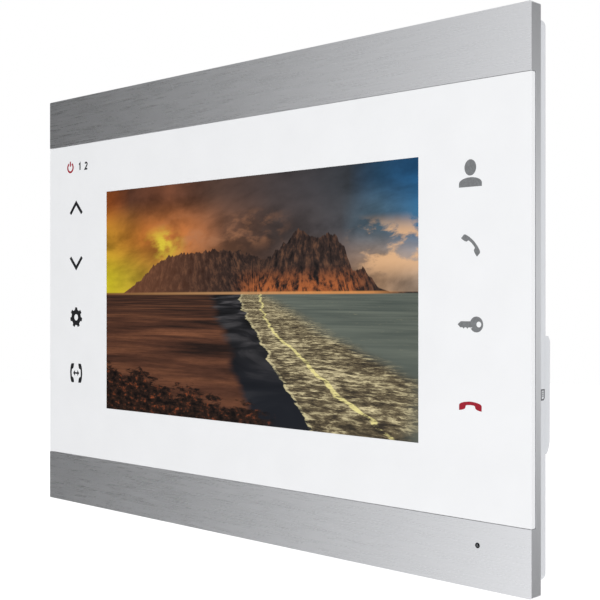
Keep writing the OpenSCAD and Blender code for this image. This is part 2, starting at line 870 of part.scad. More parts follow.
module card_socket_base() {
  color("black")
  difference() {
    block([socket_back_x, card_z - socket_half_h + shell_t], [socket_mouth_x, card_z + socket_half_h - shell_t],
      channel_front_d, board_front_d);
    block([channel_back_x, lane_top], [socket_mouth_x + cut, card_z + card_w / 2 + socket_play],
      channel_front_d - cut, channel_back_d);
    block([channel_back_x, lane_top - lane_w],
      [card_back_x + slider_arm_l + card_release + free_gap, lane_top + cut],
      channel_front_d - cut, channel_back_d);
  }
}

module card_socket_shell() {
  color("silver")
  difference() {
    block([socket_back_x, card_z - socket_half_h], [socket_mouth_x, card_z + socket_half_h],
      channel_front_d - shell_t, board_front_d);
    block([socket_back_x - cut, card_z - socket_half_h + shell_t],
      [socket_mouth_x + cut, card_z + socket_half_h - shell_t], channel_front_d, board_front_d + cut);
    block([card_back_x + 3, card_z - 3], [card_back_x + 6, card_z + 3], channel_front_d - cut,
      channel_front_d + cut);
  }
}

// A bar behind the card, an arm beside it and a seat that the spring pushes on
module card_slider() {
  low = card_front_d;
  high = card_back_d;
  bar_x = card_back_x - slider_gap - slider_bar_t;
  arm_z = lane_top - slider_gap;
  seat_x = card_back_x + slider_arm_l - 0.8;
  color("black")
  union() {
    block([bar_x, arm_z - slider_arm_t], [bar_x + slider_bar_t, card_z - 0.5], low, high);
    block([bar_x, arm_z - slider_arm_t], [card_back_x + slider_arm_l, arm_z], low, high);
    block([seat_x, lane_top - lane_w + slider_gap], [card_back_x + slider_arm_l, arm_z], low, high);
  }
}

module card_spring() {
  wire_d = 0.16;
  turns = 9;
  start_x = channel_back_x + 0.05;
  length = slider_arm_l - 0.8 + card_back_x - start_x - card_push - 0.15;
  mean_r = (spring_d - wire_d) / 2;
  centre_z = lane_top - lane_w + slider_gap + spring_d / 2;
  centre_d = (card_front_d + card_back_d) / 2;
  color("silver")
  for (i = [0:turns - 1])
    translate([start_x + wire_d / 2 + i * (length - wire_d) / (turns - 1), centre_d - wall_d, centre_z])
      rotate([0, 90, 0])
        rotate_extrude($fn = 24)
          translate([mean_r, 0])
            circle(d = wire_d, $fn = 16);
}

module memory_card() {
  notch_l = 5.0;
  notch_w = 1.3;
  lip_l = 1.2;
  color("dimgray")
  difference() {
    block([card_back_x, card_z - card_w / 2], [card_tip_x, card_z + card_w / 2], card_front_d, card_back_d);
    block([card_back_x - cut, card_z + card_w / 2 - notch_w], [card_back_x + notch_l, card_z + card_w / 2 + cut],
      card_front_d - cut, card_back_d + cut);
    block([card_tip_x - 2 * lip_l, card_z - card_w / 2 + 1], [card_tip_x - lip_l, card_z + card_w / 2 - 1],
      card_front_d - cut, card_front_d + 0.15);
  }
}

// Microphone

module microphone() {
  color("silver")
  union() {
    rod([mic_x, mic_z], mic_capsule_d, mic_front_d, mic_front_d + mic_capsule_h);
    for (side = [-1, 1])
      rod([mic_x + side * 1.2, mic_z], 0.8, mic_front_d + mic_capsule_h, mic_front_d + mic_capsule_h + 0.5);
  }
}

module microphone_boot() {
  color("black")
  difference() {
    rod([mic_x, mic_z], mic_boot_d, bar_skin_t + piece_gap / 2, mic_front_d + mic_capsule_h);
    rod([mic_x, mic_z], mic_capsule_d + 2 * fit, mic_front_d, mic_front_d + mic_capsule_h + cut);
    rod([mic_x, mic_z], mic_hole_d + 0.4, bar_skin_t - cut, mic_front_d + cut);
  }
}

lead_d = 0.8;
lead_steps = 14;

module microphone_leads() {
  rise_d = board_back_d + 1.1;
  for (side = [-1, 1]) {
    start = [mic_x + side * 1.2, mic_front_d + mic_capsule_h + 0.5, mic_z];
    edge = [mic_x + side * 0.7 - 2, rise_d, mic_z + 2];
    finish = [mic_header[0] + 2 + lead_d / 2, board_back_d + 1.0, mic_header[1] + side];
    color(side < 0 ? "red" : "black")
    lead(concat([start, start + [0, 1.2, 0]], bow(edge, finish, [0, 0.2, side - 2], lead_steps)), lead_d);
  }
}

// Loudspeaker

module speaker_basket() {
  leg_w = 6;
  foot_d = yoke_rim_d - 0.3;
  shelf_d = rim_back_d - rim_t_speaker;
  color("dimgray")
  difference() {
    turned([speaker_x, speaker_z])
      polygon([[yoke_r + fit, foot_d - 0.4], [yoke_r + 2.2, foot_d - 0.4], [speaker_r, shelf_d - 0.9],
        [speaker_r, rim_back_d], [speaker_r - speaker_rim_w, rim_back_d], [speaker_r - speaker_rim_w, shelf_d],
        [speaker_r - 0.6, shelf_d], [speaker_r - 0.6, shelf_d - 0.6], [yoke_r + 2, foot_d],
        [yoke_r + fit, foot_d]]);
    for (angle = [0:60:300])
      translate([speaker_x, 0, speaker_z])
        rotate([0, angle + 30, 0])
          translate([yoke_r + 1.4, foot_d - 1 - wall_d, -leg_w / 2])
            cube([speaker_r - yoke_r - 2.6, shelf_d - foot_d + 0.4, leg_w]);
  }
}

module speaker_yoke() {
  color("silver")
  union() {
    turned([speaker_x, speaker_z])
      polygon([[0, yoke_front_d], [yoke_r, yoke_front_d], [yoke_r, yoke_rim_d], [yoke_r - yoke_wall, yoke_rim_d],
        [yoke_r - yoke_wall, yoke_front_d + yoke_base_t], [0, yoke_front_d + yoke_base_t]]);
    rod([speaker_x, speaker_z], 2 * magnet_r + 0.4, yoke_rim_d - pole_t, yoke_rim_d);
  }
}

module speaker_magnet() {
  color("gray")
  rod([speaker_x, speaker_z], 2 * magnet_r, yoke_front_d + yoke_base_t, yoke_rim_d - pole_t);
}

module speaker_cone() {
  neck_d = cone_back_d - 0.55;
  crown_d = cone_back_d - 0.25;
  coil_front_d = neck_d - coil_depth;
  color("black")
  turned([speaker_x, speaker_z])
    polygon([[0, crown_d], [coil_r * 0.6, crown_d - 0.1], [coil_r - coil_t, neck_d],
      [coil_r - coil_t, coil_front_d], [coil_r, coil_front_d], [coil_r, neck_d - cone_t],
      [cone_r, cone_back_d - cone_t], [cone_r, cone_back_d], [coil_r, neck_d + 0.05],
      [coil_r * 0.6, crown_d - 0.1 + cone_t], [0, crown_d + cone_t]]);
}

module speaker_surround() {
  roll_t = 0.2;
  inner_r = cone_r + free_gap;
  outer_r = speaker_r - speaker_rim_w + 0.9;
  base_d = rim_back_d - rim_t_speaker - roll_t;
  color("dimgray")
  turned([speaker_x, speaker_z])
    polygon([[inner_r, base_d], [outer_r, base_d], [outer_r, base_d + roll_t], [outer_r - 1, base_d + roll_t],
      [(inner_r + outer_r - 0.8) / 2, base_d + roll_t + 0.4], [inner_r, base_d + roll_t]]);
}

module speaker_gasket() {
  color("black")
  difference() {
    rod([speaker_x, speaker_z], speaker_d, gasket_front_d, inner_back_d);
    rod([speaker_x, speaker_z], speaker_d - 2 * speaker_rim_w, gasket_front_d - cut, inner_back_d + cut);
  }
}

module speaker_leads() {
  for (side = [-1, 1]) {
    start = [speaker_x + speaker_r - 0.2 + lead_d / 2, board_back_d + 0.6, speaker_z - 6 + 2 * side];
    finish = [speaker_header[0] - 2 - lead_d / 2, board_back_d + 1.0, speaker_header[1] + side];
    color(side < 0 ? "red" : "black")
    lead(bow(start, finish, [-1.2 + side, 0.2, 0], lead_steps), lead_d);
  }
}

// Sockets that face the wall

function socket_x(i) = (i - 1.5) * socket_spacing;
function socket_w(i) = (socket_pins_each[i] - 1) * socket_pitch + 2 * socket_end;

module wall_socket(i) {
  notch_w = socket_w(i) - 5;
  difference() {
    centred_block([socket_x(i), 0], [socket_w(i), socket_h], board_back_d, socket_back_d);
    centred_block([socket_x(i), 0], [socket_w(i) - 2 * socket_wall, socket_h - 2 * socket_wall],
      board_back_d + socket_floor, socket_back_d + cut);
    centred_block([socket_x(i), socket_h / 2], [notch_w, 4 * socket_wall],
      board_back_d + socket_floor + 1.2, socket_back_d + cut);
  }
}

module door_socket_1() {
  color("white") wall_socket(0);
}

module door_socket_2() {
  color("white") wall_socket(1);
}

module monitor_socket() {
  color("white") wall_socket(2);
}

module power_socket() {
  color("white") wall_socket(3);
}

module socket_pins() {
  color("gold")
  for (i = [0:3], k = [0:socket_pins_each[i] - 1])
    centred_block([socket_x(i) + (k - (socket_pins_each[i] - 1) / 2) * socket_pitch, -0.4],
      [pin_size, pin_size], board_back_d + socket_floor, socket_back_d - 0.8);
}

// Rear housing

module slot_outline(size) {
  r = size[0] / 2;
  square([size[0], size[1] - 2 * r], center = true);
  for (z = [-1, 1])
    translate([0, z * (size[1] / 2 - r)])
      circle(r);
}

module vent_slots() {
  vent_w = 2;
  vent_h = 8;
  vent_pitch = 6;
  vent_count = 15;
  tower_edge_z = tower_z - tower_d / 2;
  upper_z = (bracket_z + bracket_h / 2 + tower_edge_z) / 2;
  lower_z = (bracket_z - bracket_h / 2 - tower_edge_z) / 2;
  for (i = [0:vent_count - 1], z = [lower_z, upper_z])
    translate([(i - (vent_count - 1) / 2) * vent_pitch, 0, z])
      plate(inner_back_d - cut, body_d + cut) slot_outline([vent_w, vent_h]);
}

module grille_slots() {
  grille_w = 1.6;
  grille_pitch = 3.4;
  grille_count = 7;
  for (i = [0:grille_count - 1]) {
    offset_x = (i - (grille_count - 1) / 2) * grille_pitch;
    translate([speaker_x + offset_x, 0, speaker_z])
      plate(inner_back_d - cut, body_d + cut)
        slot_outline([grille_w, 2 * sqrt(grille_r * grille_r - offset_x * offset_x)]);
  }
}

// A raised pad in line with the housing's side: a tight upper corner, an easy lower one, a rounded outer edge
module side_pad() {
  upper_z = pad_z + pad_h / 2;
  lower_z = pad_z - pad_h / 2;
  outer_x = housing_w / 2;
  shoulder_d = pad_back_d - housing_edge_r;
  corners = [[upper_z - pad_upper_r, pad_upper_r], [lower_z + pad_lower_slope + pad_lower_r, pad_lower_r]];
  hull() {
    block([pad_inner_x, lower_z], [outer_x, upper_z], inner_back_d, inner_back_d + housing_wall / 2);
    block([pad_inner_x, lower_z + pad_lower_slope], [outer_x, upper_z], inner_back_d, shoulder_d);
    for (corner = corners) {
      translate([outer_x - corner[1], pad_back_d - corner[1] - wall_d, corner[0]])
        sphere(corner[1], $fn = hull_fn);
      translate([pad_inner_x, pad_back_d - corner[1] - wall_d, corner[0]])
        rotate([0, 90, 0])
          cylinder(h = housing_wall / 2, r = corner[1], $fn = hull_fn);
    }
  }
}

module rear_housing() {
  r = housing_edge_r;
  slot_low = lift_travel + bracket_t + free_gap;
  color("white")
  difference() {
    union() {
      difference() {
        union() {
          hull() {
            for (x = [-1, 1], z = [-1, 1])
              translate([x * (housing_w / 2 - r), body_d - r - wall_d, z * (housing_h / 2 - r)]) {
                sphere(r, $fn = hull_fn);
                rotate([90, 0, 0])
                  cylinder(h = body_d - r - housing_front_d, r = r, $fn = hull_fn);
              }
          }
          side_pad();
          mirror([1, 0, 0])
            side_pad();
        }
        centred_block([0, 0], [2 * inner_half_w, 2 * inner_half_h], housing_front_d - cut, inner_back_d);
        for (side = [-1, 1])
          centred_block([side * (inner_half_w + pad_inner_x + housing_wall) / 2, pad_z],
            [inner_half_w - pad_inner_x - housing_wall, pad_h - 2 * pad_pocket_inset],
            inner_back_d - cut, pad_back_d - housing_wall);
      }
      for (p = tower_points)
        rod(p, tower_d, tower_front_d, inner_back_d + housing_wall / 2);
    }
    for (p = tower_points) {
      rod(p, clearance_hole_d, tower_front_d - cut, body_d + cut);
      rod(p, counterbore_d, screw_seat_d, body_d + cut);
    }
    for (p = hook_points)
      block([p[0] - hook_slot_w / 2, p[1] - slot_low], [p[0] + hook_slot_w / 2, p[1] + hook_rest_gap],
        inner_back_d - cut, body_d + cut);
    for (i = [0:3])
      centred_block([socket_x(i), 0], [socket_w(i) + 2 * socket_gap, socket_h + 2 * socket_gap],
        inner_back_d - cut, body_d + cut);
    block([inner_half_w - cut, card_z - card_w / 2 - slot_margin],
      [housing_w / 2 + cut, card_z + card_w / 2 + slot_margin],
      card_front_d - slot_margin, card_back_d + slot_margin);
    vent_slots();
    grille_slots();
  }
}

module housing_screws() {
  color("silver")
  for (p = tower_points)
    screw(p, screw_seat_d, screw_d, screw_l, screw_head_d, screw_head_h);
}

// Wall bracket: a pressed sheet tray with dished screw seats and four hooks lanced from it

module wall_bracket() {
  outer = [bracket_w, bracket_h];
  inner = [bracket_w - 2 * bracket_t, bracket_h - 2 * bracket_t];
  plate_r = 4;
  screw_points = concat(wall_screw_points, box_screw_points);
  tongue_l = plate_front_d - hook_front_d + hook_lip_h;
  color("silver")
  difference() {
    union() {
      difference() {
        translate([0, 0, bracket_z])
          plate(plate_front_d, wall_d) rounded_rect(outer, plate_r);
        translate([0, 0, bracket_z])
          plate(plate_back_d, wall_d + cut) rounded_rect(inner, plate_r - bracket_t);
        for (p = hook_points)
          block([p[0] - hook_w / 2 - 0.3, p[1]], [p[0] + hook_w / 2 + 0.3, p[1] + tongue_l],
            plate_front_d - cut, plate_back_d + cut);
      }
      for (p = hook_points) {
        block([p[0] - hook_w / 2, p[1] - bracket_t], [p[0] + hook_w / 2, p[1]], hook_front_d, plate_back_d);
        block([p[0] - hook_w / 2, p[1] - bracket_t], [p[0] + hook_w / 2, p[1] + hook_lip_h],
          hook_front_d, hook_front_d + bracket_t);
      }
      for (p = screw_points)
        rod(p, cup_d, plate_front_d, wall_d);
    }
    for (p = screw_points) {
      rod(p, cup_d - 2 * bracket_t, plate_front_d - cut, wall_d - bracket_t);
      rod(p, wall_screw_hole_d, wall_d - bracket_t - cut, wall_d + cut);
    }
    centred_block([0, 0], [cable_opening_w, cable_opening_h], plate_front_d - cut, plate_back_d + cut);
  }
}

front_frame();
front_glass();
glass_adhesive();
display_gasket();
display_bezel();
display_panel();
display_films();
display_light_guide();
display_led_strip();
display_tray();
display_flex();
touch_board_left();
touch_board_right();
touch_diffuser_left();
touch_diffuser_right();
touch_leds();
touch_chips();
touch_cable_left();
touch_cable_right();
inner_carrier();
carrier_screws();
main_board();
board_screws();
processor();
processor_shield();
memory_chips();
board_passives();
board_capacitors();
board_inductors();
backup_cell();
backup_cell_clip();
display_connector();
touch_connectors();
lead_headers();
card_socket_base();
card_socket_shell();
card_slider();
card_spring();
memory_card();
microphone();
microphone_boot();
microphone_leads();
speaker_basket();
speaker_yoke();
speaker_magnet();
speaker_cone();
speaker_surround();
speaker_gasket();
speaker_leads();
door_socket_1();
door_socket_2();
monitor_socket();
power_socket();
socket_pins();
rear_housing();
housing_screws();
wall_bracket();
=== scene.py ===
"""Looks of a wall-mounted video intercom monitor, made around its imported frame."""

import json
import math
from contextlib import contextmanager
from functools import cache

import bmesh
import bpy
from bpy.props import FloatProperty, FloatVectorProperty, PointerProperty
from mathutils import Matrix, Vector


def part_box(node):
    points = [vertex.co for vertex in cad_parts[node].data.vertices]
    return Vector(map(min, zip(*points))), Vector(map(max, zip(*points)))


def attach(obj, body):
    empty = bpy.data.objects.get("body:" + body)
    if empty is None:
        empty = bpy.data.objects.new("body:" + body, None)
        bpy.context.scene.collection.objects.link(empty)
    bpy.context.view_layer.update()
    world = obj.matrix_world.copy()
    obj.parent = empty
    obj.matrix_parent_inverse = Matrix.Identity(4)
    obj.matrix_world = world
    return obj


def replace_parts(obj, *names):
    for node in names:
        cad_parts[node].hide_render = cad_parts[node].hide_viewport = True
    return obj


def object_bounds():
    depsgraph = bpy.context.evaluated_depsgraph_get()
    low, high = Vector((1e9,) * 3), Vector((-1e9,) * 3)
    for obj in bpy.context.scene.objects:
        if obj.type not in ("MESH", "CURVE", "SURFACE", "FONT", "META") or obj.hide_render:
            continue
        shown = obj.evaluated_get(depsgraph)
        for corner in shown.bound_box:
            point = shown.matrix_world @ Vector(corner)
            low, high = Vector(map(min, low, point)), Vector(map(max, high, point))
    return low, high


bl_info = {
    "name": "Video intercom monitor",
    "version": (1, 0, 0),
    "blender": (4, 5, 0),
    "location": "View3D > Sidebar > Intercom",
    "description": "Builds the finished pieces of a wall-mounted video intercom monitor",
    "category": "Object",
}

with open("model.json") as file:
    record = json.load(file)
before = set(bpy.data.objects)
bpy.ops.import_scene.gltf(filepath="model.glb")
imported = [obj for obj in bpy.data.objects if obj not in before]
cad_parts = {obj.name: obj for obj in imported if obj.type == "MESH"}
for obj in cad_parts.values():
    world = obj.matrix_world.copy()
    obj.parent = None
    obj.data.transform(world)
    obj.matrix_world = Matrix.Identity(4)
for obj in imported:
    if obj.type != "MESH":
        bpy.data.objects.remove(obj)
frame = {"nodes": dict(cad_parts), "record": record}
cad_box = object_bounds()

MM = 0.001
FRONT = cad_box[0].y
ALONG_Y = Matrix.Rotation(math.radians(90), 4, "X")
SAME_POINT = 0.002 * MM
LEG_LIFT = 0.06 * MM
SHARP = 32
CURVED = 40


# ---------------------------------------------------------------- node trees

def tone(red, green, blue):
    """A colour given as display values from 0 to 255, as linear light."""
    linear = [c / 12.92 if c <= 0.04045 else ((c + 0.055) / 1.055) ** 2.4
              for c in (red / 255, green / 255, blue / 255)]
    return (*linear, 1.0)


def shade(colour, share):
    """The colour made darker or lighter by a share."""
    return (*[min(1.0, channel * share) for channel in colour[:3]], 1.0)


def combining(operation, swapped=False):
    """A method that joins a value and another one, or a number, in a math node."""
    def method(self, other=0.0):
        a, b = (other, self) if swapped else (self, other)
        return Net(self.socket.id_data).math(operation, a, b)
    return method


class Value:
    """A node's output, which plain arithmetic turns into math nodes."""

    def __init__(self, socket):
        self.socket = socket

    __add__ = __radd__ = combining("ADD")
    __mul__ = __rmul__ = combining("MULTIPLY")
    __sub__, __rsub__ = combining("SUBTRACT"), combining("SUBTRACT", swapped=True)
    __truediv__, __rtruediv__ = combining("DIVIDE"), combining("DIVIDE", swapped=True)
    __pow__ = combining("POWER")
    __abs__ = combining("ABSOLUTE")


class Net:
    """A node tree whose nodes are added one by one."""

    def __init__(self, tree):
        self.tree = tree

    def add(self, kind, inputs=(), **settings):
        """Adds a node, sets its options and feeds its inputs with numbers or with values."""
        made = self.tree.nodes.new(kind)
        for key, value in settings.items():
            setattr(made, key, value)
        for key, value in dict(inputs).items():
            self.link(value, made.inputs[key])
        return made

    def link(self, value, socket):
        if isinstance(value, Value):
            self.tree.links.new(value.socket, socket)
        else:
            socket.default_value = value

    def value(self, kind, inputs=(), output=0, **settings):
        return Value(self.add("ShaderNode" + kind, inputs, **settings).outputs[output])

    def math(self, operation, a, b=0.0):
        return self.value("Math", {0: a, 1: b}, operation=operation)

    def point(self, x=0.0, y=0.0, z=0.0):
        return self.value("CombineXYZ", {"X": x, "Y": y, "Z": z})

    def part(self, vector, letter):
        return self.value("SeparateXYZ", {"Vector": vector}, letter)

    def ramp(self, value, *stops):
        """A colour ramp from (place, colour or grey) stops."""
        made = self.add("ShaderNodeValToRGB", {"Fac": value})
        elements = made.color_ramp.elements
        while len(elements) < len(stops):
            elements.new(1.0)
        for element, (place, colour) in zip(elements, stops):
            element.position = place
            element.color = colour if isinstance(colour, tuple) else (colour, colour, colour, 1.0)
        return Value(made.outputs[0])


class Finish(Net):
    """A procedural material whose patterns read the piece's own Object coordinates."""

    def __init__(self, name, **sockets):
        self.material = bpy.data.materials.new(name)
        self.material.use_nodes = True
        super().__init__(self.material.node_tree)
        self.shader = self.tree.nodes["Principled BSDF"]
        self.place = self.value("TexCoord", output="Object")
        self.feed(**sockets)

    def feed(self, **sockets):
        """Sets or links the shader's sockets, named as base_color or specular_ior_level."""
        for key, value in sockets.items():
            self.link(value, self.shader.inputs[key.replace("_", " ").title().replace("Ior", "IOR")])

    def axis(self, letter):
        """The place along one axis, in metres."""
        return self.part(self.place, letter)

    def facing(self, letter):
        """1 where the surface faces along one axis and 0 where it stands across it."""
        return abs(self.part(self.value("TexCoord", output="Normal"), letter))

    def span(self, value, low, high, to_low=0.0, to_high=1.0):
        """A smooth step from to_low to to_high while the value goes from low to high."""
        inputs = {"Value": value, "From Min": low, "From Max": high, "To Min": to_low, "To Max": to_high}
        return self.value("MapRange", inputs, interpolation_type="SMOOTHSTEP")

    def noise(self, size, detail=3.0, stretch=(1, 1, 1), at=None, rough=0.5, twist=0.0):
        """Cloudy noise whose features are about size metres across."""
        scale = [1 / (size * share) for share in stretch]
        mapped = self.value("Mapping", {"Vector": at or self.place, "Scale": scale})
        inputs = {"Vector": mapped, "Scale": 1.0, "Detail": detail, "Roughness": rough, "Distortion": twist}
        return self.value("TexNoise", inputs)

    def tints(self, value, *stops):
        """A colour ramp from stops of a place and three display values."""
        return self.ramp(value, *[(place, tone(*display)) for place, *display in stops])

    def dots(self, pitch, **inputs):
        """The distance from scattered dots, in shares of their pitch."""
        return self.value("TexVoronoi", {"Vector": self.place, "Scale": 1 / pitch, **inputs}, "Distance")

    def stripes(self, letter, pitch, share, soft=0.12):
        """1 on parallel stripes along one axis and 0 between them."""
        off = abs(self.math("FRACT", self.axis(letter) / pitch) - 0.5)
        return self.span(off, share / 2 + soft, share / 2)

    def mix(self, factor, a, b, how="MIX"):
        return self.value("Mix", {0: factor, 6: a, 7: b}, 2, data_type="RGBA", blend_type=how)

    def bump(self, height, depth):
        self.feed(normal=self.value("Bump", {"Height": height, "Distance": depth, "Strength": 1.0}))

    def drift(self, value, colour, contrast):
        """Lets the colour go a little darker and lighter with a noise."""
        stops = (0.3, shade(colour, 1 - contrast)), (0.7, shade(colour, 1 + contrast))
        self.feed(base_color=self.ramp(value, *stops))


# ---------------------------------------------------------------- finishes

def moulded(name, colour, roughness=0.45, grain=0.5 * MM, depth=0.012 * MM, contrast=0.06, **sockets):
    """A finish with fine surface grain, a slow drift of its colour and uneven gloss."""
    made = Finish(name, **sockets)
    fine = made.noise(grain, detail=4.0)
    broad = made.noise(grain * 60, detail=2.0)
    made.drift(fine * 0.5 + broad * 0.5, colour, contrast)
    made.feed(roughness=made.span(fine, 0.25, 0.75, roughness * 0.88, roughness * 1.12))
    made.bump(fine, depth)
    return made.material


def brushed(name, colour, along, roughness, depth=0.0012 * MM, contrast=0.035):
    """Metal with fine parallel brush lines along one axis."""
    made = Finish(name, metallic=1.0)
    stretch = [90 if letter == along else 1 for letter in "XYZ"]
    hair = made.noise(0.16 * MM, detail=3.5, stretch=stretch, rough=0.6)
    streak = made.noise(0.7 * MM, detail=3.0, stretch=[share ** 0.62 for share in stretch], twist=0.2)
    lines = hair * 0.72 + streak * 0.28
    end_face = made.span(made.facing(along), 0.3, 0.8, 1.0, 0.12)
    lines = (lines - 0.5) * end_face + 0.5
    made.drift(lines, colour, contrast)
    made.feed(roughness=made.span(lines, 0.3, 0.7, roughness * 0.82, roughness * 1.18))
    made.bump(lines, depth)
    return made.material


def white_glass():
    """Cover glass with an opaque white print behind its face."""
    made = Finish("white_glass", coat_weight=1.0, coat_roughness=0.02, coat_ior=1.5, roughness=0.5)
    colour = bpy.context.scene.intercom_glass.colour
    cloud = made.noise(14 * MM, detail=2.0)
    made.feed(base_color=made.ramp(cloud, (0.3, shade(colour, 0.985)), (0.7, shade(colour, 1.01))))
    return made.material


def printed_ink(name, colour):
    """Screen-printed ink under the glass, a little uneven in thickness."""
    made = Finish(name, coat_weight=0.3, coat_roughness=0.03, roughness=0.6, specular_ior_level=0.1)
    made.drift(made.noise(0.6 * MM, detail=3.0), colour, 0.14)
    return made.material


# Colour, roughness, size and depth of the grain in millimetres, and contrast.
PLASTICS = {
    "black_tape": ((22, 22, 23), 0.7, 0.25, 0.02, 0.2),
    "black_foam": ((30, 30, 31), 0.95, 0.5, 0.1, 0.35),
    "white_film": ((229, 231, 234), 0.3, 0.15, 0.003, 0.03),
    "led_yellow": ((238, 208, 74), 0.35, 0.1, 0.012, 0.08),
    "white_plastic": ((222, 223, 224), 0.5, 0.3, 0.012, 0.03),
    "chip_black": ((38, 39, 41), 0.6, 0.12, 0.006, 0.14),
    "grey_plastic": ((120, 123, 127), 0.55, 0.4, 0.012, 0.05),
    "passive_tan": ((156, 124, 88), 0.5, 0.1, 0.004, 0.06),
    "capacitor_gold": ((206, 154, 62), 0.42, 0.12, 0.004, 0.06),
    "ferrite_grey": ((82, 84, 88), 0.78, 0.2, 0.02, 0.18),
    "ivory_plastic": ((233, 226, 205), 0.42, 0.25, 0.012, 0.03),
    "card_black": ((28, 29, 32), 0.48, 0.15, 0.004, 0.1),
    "black_rubber": ((27, 27, 28), 0.85, 0.2, 0.02, 0.16),
    "lead_insulation": ((172, 30, 32), 0.4, 0.2, 0.004, 0.06),
    "black_insulation": ((30, 30, 32), 0.4, 0.2, 0.004, 0.1),
    "cone_black": ((34, 34, 36), 0.9, 0.4, 0.06, 0.25),
}
METALS = {
    "bezel_steel": ((186, 188, 190), 0.3, 0.3, 0.004, 0.06),
    "plated_steel": ((204, 205, 207), 0.24, 0.25, 0.004, 0.06),
    "gold_contact": ((226, 178, 92), 0.22, 0.15, 0.003, 0.06),
    "magnet_grey": ((158, 159, 161), 0.34, 0.3, 0.008, 0.06),
    "dark_screw": ((70, 71, 74), 0.36, 0.2, 0.008, 0.14),
    "solder": ((196, 197, 199), 0.3, 0.12, 0.004, 0.1),
}


def plain(name, row, **sockets):
    """A moulded or metal finish from its row."""
    colour, roughness, grain, depth, contrast = row
    return moulded(name, tone(*colour), roughness, grain * MM, depth * MM, contrast, **sockets)


def circuit_board():
    """Green solder mask over copper tracks, with plated holes and bare laminate at the edges."""
    made = Finish("green_board", coat_weight=0.5, coat_roughness=0.15, roughness=0.4)
    field, track_pitch, hole_pitch = 5.5 * MM, 0.62 * MM, 3.2 * MM
    cell = made.value("VectorMath", {0: made.place, 1: (field, 1.0, field)}, operation="SNAP")
    pick = made.value("TexWhiteNoise", {"Vector": cell}, "Value")
    across, up = [made.stripes(letter, track_pitch, 0.34) for letter in "XZ"]
    tracks = made.math("MAXIMUM", across * made.math("LESS_THAN", pick, 0.36),
                       up * made.math("GREATER_THAN", pick, 0.62))
    plated = made.span(made.dots(hole_pitch), 0.1, 0.07)
    mask = made.mix(tracks, tone(16, 84, 50), tone(34, 118, 70))
    cloud = made.noise(20 * MM, detail=2.0)
    mask = made.mix(1.0, mask, made.ramp(cloud, (0.3, 0.86), (0.7, 1.0)), how="MULTIPLY")
    mask = made.mix(plated, mask, tone(206, 168, 96))
    edge = made.span(made.facing("Y"), 0.6, 0.4)
    fibre = made.noise(0.12 * MM, detail=3.0, stretch=(12, 1, 12))
    laminate = made.tints(fibre, (0.35, 146, 140, 84), (0.65, 186, 178, 120))
    made.feed(base_color=made.mix(edge, mask, laminate), metallic=plated * 0.8)
    made.bump(made.math("MAXIMUM", tracks, plated), 0.03 * MM)
    return made.material


def flex_film(name, film, copper, letter, pitch):
    """A thin flexible circuit with parallel conductors that show through its film."""
    made = Finish(name, roughness=0.3, coat_weight=0.4, coat_roughness=0.1)
    lines = made.stripes(letter, pitch, 0.5)
    film = made.ramp(made.noise(0.4 * MM), (0.3, shade(film, 0.9)), (0.7, shade(film, 1.1)))
    made.feed(base_color=made.mix(lines, film, copper))
    made.bump(lines, 0.02 * MM)
    return made.material


def clear_acrylic():
    """Clear acrylic with fine printed dots that send its light forwards."""
    made = Finish("clear_acrylic", transmission_weight=0.85, ior=1.49, roughness=0.06)
    off = made.dots(1.1 * MM, Randomness=0.1)
    made.feed(base_color=made.mix(made.span(off, 0.3, 0.2), tone(236, 242, 244), tone(255, 255, 255)))
    made.feed(roughness=made.span(off, 0.3, 0.2, 0.05, 0.5))
    return made.material


def bracket_steel():
    """Galvanised sheet steel with soft spangles."""
    made = Finish("bracket_steel", metallic=1.0)
    spangle = made.noise(6 * MM, detail=3.0, rough=0.4, twist=0.7)
    fine = made.noise(0.4 * MM, detail=4.0)
    made.feed(base_color=made.tints(spangle, (0.3, 183, 185, 188), (0.7, 202, 204, 206)))
    made.feed(roughness=made.span(fine, 0.3, 0.7, 0.3, 0.46))
    made.bump(fine, 0.012 * MM)
    return made.material


PATTERNED = {
    "green_board": circuit_board,
    "clear_acrylic": clear_acrylic,
    "bracket_steel": bracket_steel,
    "display_glass": lambda: plain("display_glass", ((13, 14, 17), 0.12, 0.5, 0.001, 0.1), coat_weight=1.0),
    "amber_film": lambda: flex_film("amber_film", tone(176, 104, 34), tone(206, 140, 62), "X", 0.8 * MM),
    "cable_white": lambda: flex_film("cable_white", tone(226, 228, 230), tone(190, 190, 188), "Z", 1.0 * MM),
}


@cache
def finish_of(slot):
    """The material of one of the record's slots, made once."""
    if slot in PATTERNED:
        return PATTERNED[slot]()
    if slot in METALS:
        return plain(slot, METALS[slot], metallic=1.0)
    return plain(slot, PLASTICS[slot])


# ---------------------------------------------------------------- pieces and nodes of the frame

def linked(name, mesh, *materials):
    """A new object in the scene with that mesh and those materials."""
    made = bpy.data.objects.new(name, mesh)
    for material in materials:
        mesh.materials.append(material)
    bpy.context.scene.collection.objects.link(made)
    return made


def body_of(node):
    """The body that a node of the frame rides on."""
    bodies = frame["record"]["behaviour"]["bodies"]
    return next(body for body, members in bodies.items() if node in members)


def slot_of(node):
    """The record's material slot of a node of the frame."""
    return next(row["material_slot"] for row in frame["record"]["subparts"] if row["node"] == node)


def beside(piece, node):
    """The piece is a detail on that node of the frame, and rides on its body."""
    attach(piece, body_of(node))
    return piece


def settle(piece, node):
    """The piece stands for that node of the frame, which it hides, and rides on its body."""
    beside(piece, node)
    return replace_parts(piece, node)


def paint(*nodes):
    """Gives nodes of the frame that stay as they are the finish of their slots."""
    for node in nodes:
        for place in frame["nodes"][node].material_slots:
            place.material = finish_of(slot_of(node))


